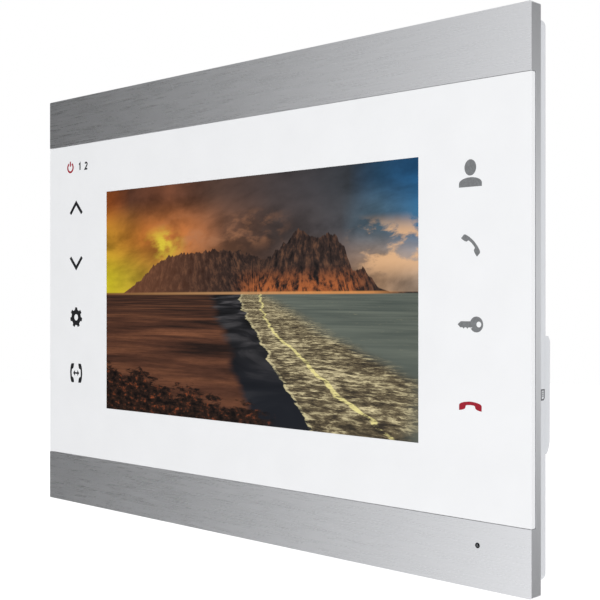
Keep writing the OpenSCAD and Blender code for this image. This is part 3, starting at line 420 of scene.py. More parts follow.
@contextmanager
def opened(mesh):
    """The mesh as an editable shape that is written back at the end."""
    shape = bmesh.new()
    shape.from_mesh(mesh)
    yield shape
    shape.to_mesh(mesh)
    shape.free()


def evaluated_mesh(piece):
    return bpy.data.meshes.new_from_object(piece.evaluated_get(bpy.context.evaluated_depsgraph_get()))


def applied(piece):
    """Makes the piece's modifiers part of its mesh."""
    mesh = evaluated_mesh(piece)
    piece.modifiers.clear()
    piece.data = mesh
    return piece


def smooth(piece, angle=SHARP):
    """Smooth shading, with edges sharper than the angle kept crisp."""
    piece.data.shade_smooth()
    piece.data.set_sharp_from_angle(angle=math.radians(angle))
    return piece


def bevelled(piece, width, segments=2, angle=SHARP):
    """Rounds every edge sharper than the angle, and keeps the large faces flat to the eye."""
    smooth(piece, angle)
    made = piece.modifiers.new("edge_round", "BEVEL")
    made.width = width
    made.segments = segments
    made.limit_method = "ANGLE"
    made.angle_limit = math.radians(angle)
    made.use_clamp_overlap = True
    piece.modifiers.new("flat_faces", "WEIGHTED_NORMAL").keep_sharp = True
    return applied(piece)


def finished_copy(node, name, width, *materials, angle=SHARP):
    """A clean copy of a node of the frame, with its edges rounded."""
    mesh = frame["nodes"][node].data.copy()
    mesh.materials.clear()
    with opened(mesh) as shape:
        bmesh.ops.remove_doubles(shape, verts=shape.verts, dist=SAME_POINT)
        flat = math.radians(0.5)
        bmesh.ops.dissolve_limit(shape, angle_limit=flat, verts=shape.verts, edges=shape.edges)
    piece = linked(name, mesh, *(materials or [finish_of(slot_of(node))]))
    if width:
        bevelled(piece, width, angle=angle)
    else:
        smooth(piece)
    return settle(piece, node)


def copies(*rows, angle=SHARP):
    """Clean copies from rows of the node, the piece's name and the edge rounding in millimetres."""
    for node, name, edge in rows:
        finished_copy(node, name, edge * MM, angle=angle)


# ---------------------------------------------------------------- flat outlines

def flat_mesh(loops, front, back):
    """A plate between two depths whose outline is closed loops of (x, z); inner loops are holes."""
    curve = bpy.data.curves.new("outline", "CURVE")
    curve.dimensions = "2D"
    curve.fill_mode = "BOTH"
    curve.extrude = (back - front) / 2
    for loop in loops:
        line = curve.splines.new("POLY")
        line.points.add(len(loop) - 1)
        for point, (x, z) in zip(line.points, loop):
            point.co = (x, z, 0, 1)
        line.use_cyclic_u = True
    holder = linked("outline", curve)
    mesh = evaluated_mesh(holder)
    bpy.data.objects.remove(holder)
    mesh.transform(Matrix.Translation((0, (front + back) / 2, 0)) @ ALONG_Y)
    with opened(mesh) as shape:
        bmesh.ops.remove_doubles(shape, verts=shape.verts, dist=SAME_POINT / 4)
        bmesh.ops.recalc_face_normals(shape, faces=shape.faces)
    return mesh


def rectangle(low, high):
    """The corners of an upright rectangle from its lowest and highest (x, z)."""
    return [(low[0], low[1]), (high[0], low[1]), (high[0], high[1]), (low[0], high[1])]


def arc(centre, radius, start, end, steps=16, squeeze=1.0):
    """Points along an arc between two angles in degrees; squeeze scales its height."""
    angles = [math.radians(start + (end - start) * i / steps) for i in range(steps + 1)]
    return [(centre[0] + radius * math.cos(a), centre[1] + radius * squeeze * math.sin(a)) for a in angles]


def stroke(points, width):
    """The outline of a line of even width along the points, mitred at its corners."""
    sides = ([], [])
    for i, here in enumerate(points):
        before = Vector(here) - Vector(points[i - 1]) if i else None
        after = Vector(points[i + 1]) - Vector(here) if i + 1 < len(points) else None
        before, after = (before or after).normalized(), (after or before).normalized()
        along = (before + after).normalized()
        reach = width / 2 / max(0.4, along.dot(before))
        across = Vector((-along.y, along.x)) * reach
        sides[0].append(tuple(Vector(here) + across))
        sides[1].append(tuple(Vector(here) - across))
    return sides[0] + sides[1][::-1]


# ---------------------------------------------------------------- recipes for what repeats

def joined_to(vertex):
    """Every vertex of the solid that a vertex belongs to."""
    group, seen = [vertex], {vertex}
    for here in group:
        for edge in here.link_edges:
            other = edge.other_vert(here)
            if other not in seen:
                seen.add(other)
                group.append(other)
    return group


def solids_of(node):
    """The lowest and highest corners of each separate solid in a node of the frame."""
    shape = bmesh.new()
    shape.from_mesh(frame["nodes"][node].data)
    bmesh.ops.remove_doubles(shape, verts=shape.verts, dist=SAME_POINT)
    left, found = set(shape.verts), []
    while left:
        group = joined_to(next(iter(left)))
        left.difference_update(group)
        spots = [vert.co for vert in group]
        found.append([Vector([limit(spot[i] for spot in spots) for i in range(3)]) for limit in (min, max)])
    shape.free()
    return sorted(found, key=lambda box: (round(box[0].x, 6), round(box[0].z, 6), round(box[0].y, 6)))


def centre(box):
    return (box[0] + box[1]) / 2


class Recipe(Net):
    """A geometry node tree that repeats a shape on points; its sizes are named inputs."""

    def __init__(self, name, sizes, *finishes):
        super().__init__(bpy.data.node_groups.new(name, "GeometryNodeTree"))
        kinds = {"Points": "Geometry", **dict.fromkeys(sizes, "Float"), **dict.fromkeys(finishes, "Material")}
        for label, kind in kinds.items():
            self.tree.interface.new_socket(label, in_out="INPUT", socket_type="NodeSocket" + kind)
        self.tree.interface.new_socket("Shape", in_out="OUTPUT", socket_type="NodeSocketGeometry")
        given = self.add("NodeGroupInput").outputs
        self.inputs = {label: Value(given[label]) for label in kinds}
        self.sizes = [self.inputs[label] for label in sizes]
        self.branches = []

    def make(self, kind, inputs=(), **settings):
        return Value(self.add("GeometryNode" + kind, inputs, **settings).outputs[0])

    def place(self, shape, at=(0, 0, 0), turn=(0, 0, 0)):
        return self.make("Transform", {"Geometry": shape, "Translation": at, "Rotation": turn})

    def block(self, x, y, z, at=(0, 0, 0)):
        return self.place(self.make("MeshCube", {"Size": self.point(x, y, z)}), at)

    def drum(self, radius, depth, at=(0, 0, 0), sides=24, rings=1):
        inputs = {"Vertices": sides, "Radius": radius, "Depth": depth, "Fill Segments": rings}
        return self.place(self.make("MeshCylinder", inputs), at)

    def cone(self, top, bottom, depth, at, sides=24, turn=(0, 0, 0)):
        inputs = {"Vertices": sides, "Radius Top": top, "Radius Bottom": bottom, "Depth": depth}
        return self.place(self.make("MeshCone", inputs), at, turn)

    def coil(self, radius, height, turns, steps, wire_r, sides):
        """A wire wound into a helix along +Z."""
        inputs = {"Resolution": steps, "Rotations": turns, "Start Radius": radius, "End Radius": radius,
                  "Height": height}
        helix = self.make("CurveSpiral", inputs)
        section = self.make("CurvePrimitiveCircle", {"Resolution": sides, "Radius": wire_r})
        return self.make("CurveToMesh", {"Curve": helix, "Profile Curve": section, "Fill Caps": True})

    def join(self, *shapes):
        made = self.add("GeometryNodeJoinGeometry")
        for shape in shapes:
            self.link(shape, made.inputs[0])
        return Value(made.outputs[0])

    def cut(self, shape, tool):
        inputs = {"Mesh 1": shape, "Mesh 2": tool}
        return self.make("MeshBoolean", inputs, operation="DIFFERENCE", solver="MANIFOLD")

    def own_turn(self):
        """The angle about Y that each point brings along."""
        return self.point(y=self.make("InputNamedAttribute", {"Name": "turn"}, data_type="FLOAT"))

    def repeat(self, finish, shape, turn=(0, 0, 0)):
        """Puts the shape on every point, in the named finish."""
        inputs = {"Points": self.inputs["Points"], "Instance": shape, "Rotation": turn}
        real = self.make("RealizeInstances", {"Geometry": self.make("InstanceOnPoints", inputs)})
        self.branches.append(self.make("SetMaterial", {"Geometry": real, "Material": self.inputs[finish]}))

    def done(self):
        self.link(self.join(*self.branches), self.add("NodeGroupOutput").inputs[0])
        return self.tree


def grown(name, recipe, spots, values, turns=None):
    """A piece that the recipe repeats at the spots, each turned about Y by its own angle."""
    mesh = bpy.data.meshes.new(name)
    mesh.from_pydata([tuple(spot) for spot in spots], [], [])
    if turns:
        mesh.attributes.new("turn", "FLOAT", "POINT").data.foreach_set("value", turns)
    piece = linked(name, mesh)
    made = piece.modifiers.new("recipe", "NODES")
    made.node_group = recipe
    for item in recipe.interface.items_tree:
        if item.in_out == "INPUT" and item.name in values:
            made[item.identifier] = values[item.name]
    piece.update_tag()
    return smooth(applied(piece))


def screw_recipe():
    """A pan head screw along +Y with a cross recess and a thread; its point is under the head."""
    labels = ("Head diameter", "Head height", "Shank diameter", "Length", "Pitch")
    made = Recipe("cross_head_screw", labels, "Metal")
    head_d, head_h, shank_d, length, pitch = made.sizes
    head_r = head_d * 0.5
    head = made.drum(head_r, head_h, sides=40, rings=6)
    spot = made.make("InputPosition")
    flat = made.value("VectorMath", {0: spot, 1: (1, 1, 0)}, operation="MULTIPLY")
    reach = made.value("VectorMath", {0: flat}, "Value", operation="LENGTH")
    drop = (reach / head_r) ** 3.0 * (head_h * -0.5)
    upper = made.math("GREATER_THAN", made.part(spot, "Z"), 0.0)
    head = made.make("SetPosition", {"Geometry": head, "Selection": upper, "Offset": made.point(z=drop)})
    slot_l, slot_w, lifted = head_d * 0.56, head_d * 0.12, made.point(z=head_h * 0.4)
    head = made.cut(head, made.block(slot_l, slot_w, head_h, lifted))
    head = made.cut(head, made.block(slot_w, slot_l, head_h, lifted))
    head = made.place(head, made.point(z=head_h * 0.5))
    core, tip = shank_d * 0.42, shank_d * 0.8
    straight = length - tip
    shank = made.drum(core, straight, made.point(z=straight * -0.5))
    nose = made.cone(core, core * 0.3, tip, made.point(z=tip * -0.5 - straight))
    threaded = straight * 0.94
    thread = made.coil(core, threaded, threaded / pitch, 18, shank_d * 0.09, 3)
    thread = made.place(thread, made.point(z=straight * -1.0))
    screw = made.place(made.join(head, shank, nose, thread), turn=(math.radians(-90), 0, 0))
    spin = made.add("FunctionNodeRandomValue", {2: 0.0, 3: math.pi, "Seed": 5}, data_type="FLOAT")
    made.repeat("Metal", screw, made.point(y=Value(spin.outputs[1])))
    return made.done()


def pin_recipe():
    """A square contact pin along +Y with a tapered end."""
    made = Recipe("contact_pin", ("Width", "Length"), "Metal")
    width, length = made.sizes
    taper = width * 0.9
    straight = length - taper
    bar = made.block(width, straight, width, made.point(y=straight * 0.5))
    corner = width * math.sqrt(0.5)
    turn = (math.radians(-90), math.radians(45), 0)
    nose = made.cone(corner * 0.45, corner, taper, made.point(y=straight + taper * 0.5), 4, turn)
    made.repeat("Metal", made.join(bar, nose))
    return made.done()


def surface_part_recipe():
    """A small soldered part that lies along X or Z: a body between two plated ends."""
    labels = ("Length", "Width", "Height", "Cap", "Cap width", "Cap height")
    made = Recipe("surface_part", labels, "Body", "Metal")
    length, width, height, cap, cap_width, cap_height = made.sizes
    turn = made.own_turn()
    made.repeat("Body", made.block(length - cap * 2.0, height * 0.94, width * 0.94), turn)
    away, low = (length - cap) * 0.5, (cap_height - height) * 0.5
    ends = [made.block(cap, cap_height, cap_width, made.point(away * side, low)) for side in (-1, 1)]
    made.repeat("Metal", made.join(*ends), turn)
    return made.done()


def led_recipe():
    """A light-emitting package: a pale body with a phosphor window that stands a little proud."""
    made = Recipe("led_package", ("Length", "Width", "Height", "Tilt"), "Body", "Window", "Metal")
    length, width, height, tilt = made.sizes
    tilt = made.point(x=tilt)
    body = made.block(length * 0.84, height * 0.9, width)
    pit = made.block(length * 0.6, height * 0.3, width * 0.72, made.point(y=height * -0.45))
    made.repeat("Body", made.cut(body, pit), tilt)
    lens = made.block(length * 0.58, height * 0.2, width * 0.7, made.point(y=height * -0.27))
    made.repeat("Window", lens, tilt)
    ends = [made.block(length * 0.16, height * 0.5, width * 0.8, made.point(length * side, height * 0.2))
            for side in (-0.4536, 0.4536)]
    made.repeat("Metal", made.join(*ends), tilt)
    return made.done()


def spring_recipe():
    """A coil spring along +X from the point."""
    made = Recipe("coil_spring", ("Coil diameter", "Wire diameter", "Length", "Turns"), "Metal")
    coil, wire, length, turns = made.sizes
    tube = made.coil((coil - wire) * 0.5, length - wire, turns, 24, wire * 0.5, 10)
    made.repeat("Metal", made.place(tube, made.point(x=wire * 0.5), (0, math.radians(90), 0)))
    return made.done()


def chip_leg_recipe():
    """One bent leg of a chip, which leaves the body at the point and steps down to the board."""
    made = Recipe("chip_leg", ("Reach", "Drop", "Width", "Thickness"), "Metal")
    reach, drop, width, thick = made.sizes
    knee = reach * 0.42
    rest = reach - knee
    top = made.block(knee, thick, width, made.point(x=knee * 0.5))
    riser = made.block(thick, abs(drop), width, made.point(knee, drop * -0.5))
    foot = made.block(rest, thick, width, made.point(knee + rest * 0.5, drop * -1.0))
    made.repeat("Metal", made.join(top, riser, foot), made.own_turn())
    return made.done()


# ---------------------------------------------------------------- touch symbols

def moved(loops, x, z, turn=0.0):
    """Loops turned by an angle in degrees and carried to (x, z)."""
    cosine, sine = math.cos(math.radians(turn)), math.sin(math.radians(turn))
    return [[(x + u * cosine - v * sine, z + u * sine + v * cosine) for u, v in loop] for loop in loops]


def chevron(width, height, line):
    points = [(-width / 2, -height / 2), (0, height / 2), (width / 2, -height / 2)]
    return [stroke(points, line)]


def cog(radius, teeth, hole):
    """A gear wheel with square-ended teeth and a round hole."""
    root = radius * 0.78
    pitch = 360 / teeth
    outline = []
    for tooth in range(teeth):
        middle = 90 + tooth * pitch
        outline += arc((0, 0), root, middle - pitch * 0.5, middle - pitch * 0.3, 3)
        outline += arc((0, 0), radius, middle - pitch * 0.2, middle + pitch * 0.2, 3)
        outline += arc((0, 0), root, middle + pitch * 0.3, middle + pitch * 0.5, 3)[:-1]
    return [outline, arc((0, 0), hole, 360, 0, 24)[:-1]]


def receiver(tall):
    """A flat-ended telephone receiver 7.8 mm long that bulges upwards."""
    half = [(0.75, 2.38), (2.05, 2.23), (3.1, 1.97), (3.6, 1.75), (3.9, 1.45), (3.9, 0.0), (3.3, 0.05),
            (2.4, 0.25), (1.9, 0.5), (1.72, 0.75), (1.62, 1.2), (1.4, 1.38), (0.65, 1.47)]
    outline = [(0, 2.42), *half, (0, 1.5), *[(-u, v) for u, v in reversed(half)]]
    return [[(u * MM, v * tall * MM) for u, v in outline]]


def person(size):
    """A head above shoulders."""
    head = arc((0, size * 0.21), size * 0.255, 0, 360, 28, squeeze=1.17)[:-1]
    top = arc((0, -size * 0.37), size * 0.5, 0, 180, 24, squeeze=0.44)
    shoulders = [(size * 0.5, -size * 0.5)] + top + [(-size * 0.5, -size * 0.5)]
    return [head, shoulders]


def door_key(length):
    """A key with a round bow on the right and a notched blade on the left."""
    bow, half, hole = length * 0.26, length * 0.1, length * 0.096
    centre = length / 2 - bow
    join = 180 - math.degrees(math.asin(half / bow))
    outline = arc((centre, 0), bow, -join, join, 30)
    tip = -length / 2
    outline += [(tip + half * 1.2, half), (tip, 0), (tip + half, -half)]
    for notch in range(3):
        start = tip + half * (1.9 + 1.5 * notch)
        outline += [(start, -half), (start + half * 0.45, -half * 1.45), (start + half * 0.9, -half)]
    return [outline, arc((centre + bow * 0.36, 0), hole, 360, 0, 18)[:-1]]


def power_sign(radius, line):
    ring = arc((0, 0), radius, 122, 418, 28)
    return [stroke(ring, line), stroke([(0, radius * 0.25), (0, radius * 1.35)], line)]


def double_arrow(length, head, line):
    half, wing = length / 2, head / 2
    start, end = wing - half, half - wing
    upper = [(-half, 0), (start, wing), (start, line / 2), (end, line / 2), (end, wing)]
    return [upper + [(-x, -z) for x, z in upper]]


def digit_one(height, line):
    shape = [(-0.2, 0.28), (0.02, 0.46), (0.02, -0.5)]
    return [stroke([(x * height, z * height) for x, z in shape], line)]


def digit_two(height, line):
    top = arc((0, height * 0.22), height * 0.24, 165, -35, 12)
    return [stroke(top + [(-height * 0.24, -height * 0.45), (height * 0.28, -height * 0.45)], line)]


# ---------------------------------------------------------------- the picture on the screen

HORIZON = 0.53
SCREEN_ASPECT = 1.79


def evening_sky(made, across, up):
    """Warm light from the left, dark cloud over the middle and a blue gap on the right."""
    low = made.tints(across, (0.0, 206, 190, 40), (0.09, 206, 178, 52), (0.22, 200, 146, 62),
                     (0.36, 168, 110, 66), (0.56, 112, 86, 76), (0.8, 142, 116, 102),
                     (0.9, 208, 166, 130), (1.0, 190, 164, 142))
    mid = made.tints(across, (0.0, 206, 150, 48), (0.15, 206, 124, 54), (0.3, 206, 124, 66),
                     (0.45, 140, 98, 76), (0.6, 88, 74, 70), (0.8, 74, 74, 78),
                     (0.9, 96, 124, 142), (1.0, 60, 114, 152))
    high = made.tints(across, (0.0, 172, 90, 40), (0.1, 102, 64, 48), (0.25, 124, 76, 54),
                      (0.4, 92, 68, 58), (0.6, 70, 62, 62), (0.82, 56, 60, 66),
                      (0.9, 40, 78, 108), (1.0, 34, 94, 142))
    sky = made.mix(made.span(up, 0.58, 0.78), low, mid)
    sky = made.mix(made.span(up, 0.76, 0.96), sky, high)
    place = made.point(across * SCREEN_ASPECT, up - across * 0.14)
    cloud = made.noise(0.26, detail=9.0, stretch=(1.5, 0.7, 1), at=place, rough=0.56, twist=0.25)
    light = made.ramp(cloud, (0.34, 0.36), (0.45, 0.62), (0.54, 0.88), (0.66, 1.1))
    sky = made.mix(1.0, sky, light, how="MULTIPLY")
    puff = made.noise(0.12, detail=9.0, stretch=(1.5, 0.75, 1), at=place, rough=0.58, twist=0.2)
    bank = made.span(abs(up - 0.785), 0.1, 0.02) * made.span(abs(across - 0.42), 0.26, 0.12)
    bank *= made.span(puff, 0.46, 0.62)
    sky = made.mix(bank * 0.5, sky, tone(176, 122, 88))
    drift = made.span(abs(up - 0.69), 0.13, 0.04) * made.span(across, 0.8, 0.9)
    drift *= made.span(puff, 0.45, 0.56)
    sky = made.mix(drift * 0.85, sky, tone(230, 182, 136))
    lit_spot = {0: made.point(across, up), 1: (0.225, 0.74, 0)}
    reach = made.value("VectorMath", lit_spot, "Value", operation="DISTANCE")
    glow = made.span(reach, 0.1, 0.01) * made.span(puff, 0.4, 0.6)
    return made.mix(glow * 0.85, sky, tone(226, 208, 62))


def rock_ridge(made, across, up):
    """How far a point is inside the rock ridge, and the colour of the rock there."""
    heights = ((0.0, 0.0), (0.07, 0.0), (0.13, 0.2), (0.18, 0.42), (0.23, 0.6), (0.3, 0.66), (0.44, 0.7),
               (0.53, 0.62), (0.58, 0.5), (0.63, 0.72), (0.68, 0.96), (0.72, 0.82), (0.78, 0.86),
               (0.81, 0.66), (0.83, 0.3), (0.86, 0.36), (0.9, 0.06), (0.93, 0.0))
    outline = made.ramp(across, *heights)
    jag = made.noise(0.022, detail=7.0, at=made.point(across, 0.0), rough=0.62)
    ridge_h, jag_h = 0.255, 0.085
    rough_h = (jag - 0.5) * jag_h * made.span(outline, 0.0, 0.3)
    crest = outline * ridge_h + rough_h + HORIZON
    inside = made.span(crest - up, -0.002, 0.003)
    place = made.point(across * SCREEN_ASPECT, up)
    fan = (across - made.ramp(across, (0.0, 0.3), (0.52, 0.36), (0.56, 0.7))) * (0.55 + (crest - up) * -1.1)
    gully = made.noise(0.04, detail=9.0, stretch=(0.6, 2.0, 1), at=made.point(fan * 3.0, up),
                       rough=0.68, twist=0.5)
    crag = made.noise(0.03, detail=8.0, stretch=(1.0, 1.2, 1), at=place, rough=0.66)
    gully = gully * 0.55 + crag * 0.45
    rock = made.tints(gully, (0.38, 22, 18, 19), (0.5, 54, 41, 37), (0.62, 106, 74, 56))
    warm = made.span(across, 0.46, 0.56) * made.span(across, 0.9, 0.8)
    foot = made.span(up, 0.64, 0.54) * made.span(gully, 0.42, 0.56)
    rock = made.mix(foot * warm * 0.7, rock, tone(196, 108, 56))
    haze = made.span(across, 0.52, 0.08) * 0.4
    return inside, made.mix(haze, rock, tone(142, 88, 58))


def wet_shore(made, across, up):
    """Sand on the left, a calm channel, a band of foam and the open sea on the right."""
    near = (HORIZON - up) / HORIZON
    lens = near + 0.13
    ground = made.point((across - 0.56) / lens, 1.1 / lens)
    wander = made.noise(0.9, detail=5.0, at=ground, rough=0.6)
    push = (wander - 0.5) * 0.26
    side = across + push * (near + 0.1)

    def past(soft, *stops):
        """How far a point is to the right of a line given as (nearness, place across)."""
        return made.span(side - made.ramp(near, *stops), -soft, soft)

    def along(width, *stops):
        off = abs(side - made.ramp(near, *stops))
        return made.span(off - near * width, 0.005, 0.0005)

    streak = made.noise(0.5, detail=7.0, stretch=(2.4, 0.7, 1), at=ground, rough=0.6, twist=0.3)
    sand = made.tints(streak, (0.32, 38, 27, 24), (0.5, 84, 53, 40), (0.7, 134, 86, 60))
    grit = made.noise(0.03, detail=6.0, stretch=(2.0, 1, 1), at=ground, rough=0.75)
    sand = made.mix(1.0, sand, made.ramp(grit, (0.35, 0.78), (0.65, 1.16)), how="MULTIPLY")
    sand = made.mix(made.span(near, 0.34, 0.02) * 0.55, sand, tone(40, 30, 27))
    ripple = made.noise(0.35, detail=5.0, stretch=(1.0, 1.6, 1), at=ground, rough=0.5, twist=0.6)
    channel = made.tints(ripple, (0.36, 18, 18, 20), (0.5, 34, 34, 37), (0.68, 78, 76, 78))
    channel = made.mix(made.span(near, 0.3, 0.9) * 0.5, channel, tone(22, 28, 38))
    sea = made.tints(streak, (0.3, 70, 78, 74), (0.7, 108, 114, 104))
    froth = made.noise(0.04, detail=6.0, stretch=(1.5, 1.0, 1), at=ground, rough=0.78, twist=0.3)
    patch = made.noise(0.3, detail=4.0, stretch=(1.3, 0.9, 1), at=ground, rough=0.6)
    froth = froth * 0.7 + patch * 0.3
    foam = made.tints(froth, (0.42, 52, 46, 38), (0.5, 104, 92, 70), (0.6, 222, 208, 164))
    bank = past(0.02, (0.0, 0.4), (0.2, 0.42), (0.45, 0.465), (0.7, 0.49), (1.0, 0.54))
    sheet = made.mix(bank, sand, channel)
    rim = ((0.0, 0.5), (0.1, 0.5), (0.3, 0.55), (0.5, 0.595), (0.75, 0.68), (1.0, 0.72))
    sheet = made.mix(past(0.004, *rim), sheet, foam)
    open_sea = past(0.05, (0.0, 0.55), (0.06, 0.6), (0.3, 0.76), (0.48, 0.9), (0.62, 1.0))
    sheet = made.mix(open_sea * made.span(froth, 0.74, 0.58), sheet, sea)
    crest = ((0.0, 0.56), (0.15, 0.57), (0.3, 0.605), (0.5, 0.69), (0.75, 0.81), (1.0, 0.95))
    broken = made.span(froth, 0.42, 0.54)
    sheet = made.mix(along(0.006, *crest) * broken, sheet, tone(234, 222, 150))
    sheet = made.mix(along(0.003, *rim) * broken, sheet, tone(206, 194, 150))
    low_left = across * 0.26 + up
    boulder = made.noise(0.07, detail=8.0, stretch=(1.4, 0.8, 1), at=made.point(across, up), rough=0.66)
    reach = 0.2 + (boulder - 0.5) * 0.42
    stone = made.span(reach - low_left, -0.01, 0.02) * made.span(across, 0.62, 0.56)
    tuft = made.noise(0.022, detail=6.0, at=made.point(across, up), rough=0.7)
    moss = made.tints(tuft, (0.4, 16, 13, 13), (0.56, 50, 34, 27), (0.7, 150, 76, 44))
    return made.mix(stone, sheet, moss)


def lit_picture(width, height):
    """An evening coast, shown by the display and seen through the polished glass."""
    settings = bpy.context.scene.intercom_picture
    made = Finish("lit_picture", coat_weight=0.25, coat_roughness=0.02, roughness=0.3, specular_ior_level=0.0)
    across = made.axis("X") / width + 0.5
    up = made.axis("Z") / height + 0.5
    sky = evening_sky(made, across, up)
    inside, rock = rock_ridge(made, across, up)
    view = made.mix(inside, sky, rock)
    shore = wet_shore(made, across, up)
    beach = made.span(abs(up - 0.528), 0.008, 0.002) * made.span(across, 0.98, 0.86)
    view = made.mix(made.span(up, 0.527, 0.523), view, shore)
    strand = made.tints(across, (0.0, 120, 82, 48), (0.5, 198, 150, 102), (0.72, 220, 150, 88))
    view = made.mix(beach * 0.8, view, strand)
    black = (0.0, 0.0, 0.0, 1.0)
    made.feed(base_color=black, emission_color=view, emission_strength=settings.brightness)
    return made.material


# ---------------------------------------------------------------- settings

def length(label, words, default, low, high):
    """A size given in millimetres."""
    return FloatProperty(name=label, description=words, unit="LENGTH", default=default * MM, min=low * MM,
                         max=high * MM)


def colour(label, words, *display):
    """A colour given as display values from 0 to 255."""
    return FloatVectorProperty(name=label, description=words, subtype="COLOR", size=3, min=0, max=1,
                               default=tone(*display)[:3])


class GlassSettings(bpy.types.PropertyGroup):
    """The cover glass."""
    colour: colour("Print colour", "Colour of the white print behind the glass", 240, 241, 243)
    edge_round: length("Edge rounding", "Radius of the ground edge of the glass", 0.12, 0.02, 0.4)
    face_step: length("Face step", "How far the glass lies behind the face of the bars", 0.03, 0.02, 0.1)


class PictureSettings(bpy.types.PropertyGroup):
    """The lit picture."""
    width: length("Width", "Width of the lit picture", 154, 100, 160)
    height: length("Height", "Height of the lit picture", 86, 50, 95)
    brightness: FloatProperty(name="Brightness", description="Strength of the display's light", default=1.0,
                              min=0.0, max=4.0)


class SymbolSettings(bpy.types.PropertyGroup):
    """The printed touch symbols."""
    left_x: length("Left column", "Place of the left column from the centre", -97.35, -110, -90)
    right_x: length("Right column", "Place of the right column from the centre", 95.75, 90, 110)
    top_z: length("Top symbol", "Height of the upper symbols above the centre", 37.6, 20, 45)
    pitch: length("Pitch", "Distance from one symbol to the next", 22.5, 15, 25)
    dark: colour("Dark ink", "Colour of the left symbols", 26, 27, 31)
    grey: colour("Grey ink", "Colour of the right symbols", 120, 122, 124)
    red: colour("Red ink", "Colour of the symbol that ends a call", 156, 6, 36)


class ShellSettings(bpy.types.PropertyGroup):
    """The metal frame and the rear housing."""
    metal: colour("Metal colour", "Colour of the brushed frame", 226, 227, 230)
    plastic: colour("Housing colour", "Colour of the moulded rear housing", 215, 217, 221)
    edge_round: length("Edge rounding", "Radius of the frame's outer edges", 0.18, 0.05, 0.5)


class ScrewSettings(bpy.types.PropertyGroup):
    """The screws."""
    housing_head: length("Housing screw head", "Head height of the housing screws", 1.7, 0.5, 2.5)
    housing_shank: length("Housing screw shank", "Shank diameter of the housing screws", 2.5, 1.5, 3)
    small_head: length("Small screw head", "Head height of the carrier and board screws", 1.2, 0.5, 1.6)
    small_shank: length("Small screw shank", "Shank diameter of the carrier and board screws", 2.0, 1, 2.4)
    pitch: length("Thread pitch", "Distance from one thread to the next", 0.7, 0.3, 1.2)


class StageSettings(bpy.types.PropertyGroup):
    """The camera, the lights and the floor."""
    camera_side: length("Camera side", "Distance of the camera to the right of the centre", 284, 0, 2000)
    camera_reach: length("Camera distance", "Distance of the camera in front of the face", 273, 50, 5000)
    camera_turn: FloatProperty(name="Camera turn", description="How far the camera is turned to the left",
                               subtype="ANGLE", default=math.radians(44.8))
    lens: FloatProperty(name="Lens", description="Focal length in millimetres", default=67.7)
    shift: FloatProperty(name="Lens shift", description="Sideways shift of the lens", default=0.055)
    ambient: FloatProperty(name="Ambient light", description="Strength of the even light from all round",
                           default=0.84)
    key: FloatProperty(name="Key light", description="Power of each soft light", unit="POWER", default=1.8)
    floor_z: length("Floor", "Height of the floor", -1200, -5000, -100)


# ---------------------------------------------------------------- stage

def lamp(name, place, target, power, size=0.9):
    """A soft square light aimed at a point."""
    light = bpy.data.lights.new(name, "AREA")
    light.shape = "SQUARE"
    light.size = size
    light.energy = power
    made = bpy.data.objects.new(name, light)
    made.location = place
    made.rotation_euler = (Vector(target) - Vector(place)).to_track_quat("-Z", "Y").to_euler()
    bpy.context.scene.collection.objects.link(made)


def stage_face(name, corners, material):
    """A single face of the stage."""
    mesh = bpy.data.meshes.new(name)
    mesh.from_pydata(corners, [], [(0, 1, 2, 3)])
    made = linked(name, mesh, material)
    return made


def reflector(name, corners, stops, axis, low, high, strength=1.0, lean=0.0):
    """A card seen only in reflections; its light follows the stops along an axis and leans with height."""
    material = bpy.data.materials.new(name + "_glow")
    material.use_nodes = True
    net = Net(material.node_tree)
    net.tree.nodes.clear()
    place = net.value("TexCoord", output="Object")
    share = net.value("MapRange", {"Value": net.part(place, axis), "From Min": low, "From Max": high})
    strength = net.part(place, "Z") * lean + strength
    glow = net.value("Emission", {"Color": net.ramp(share, *stops), "Strength": strength})
    net.add("ShaderNodeOutputMaterial", {"Surface": glow})
    card = stage_face(name, corners, material)
    card.visible_camera = False
    card.visible_diffuse = False
    card.visible_transmission = False
    card.visible_volume_scatter = False
    card.visible_shadow = False


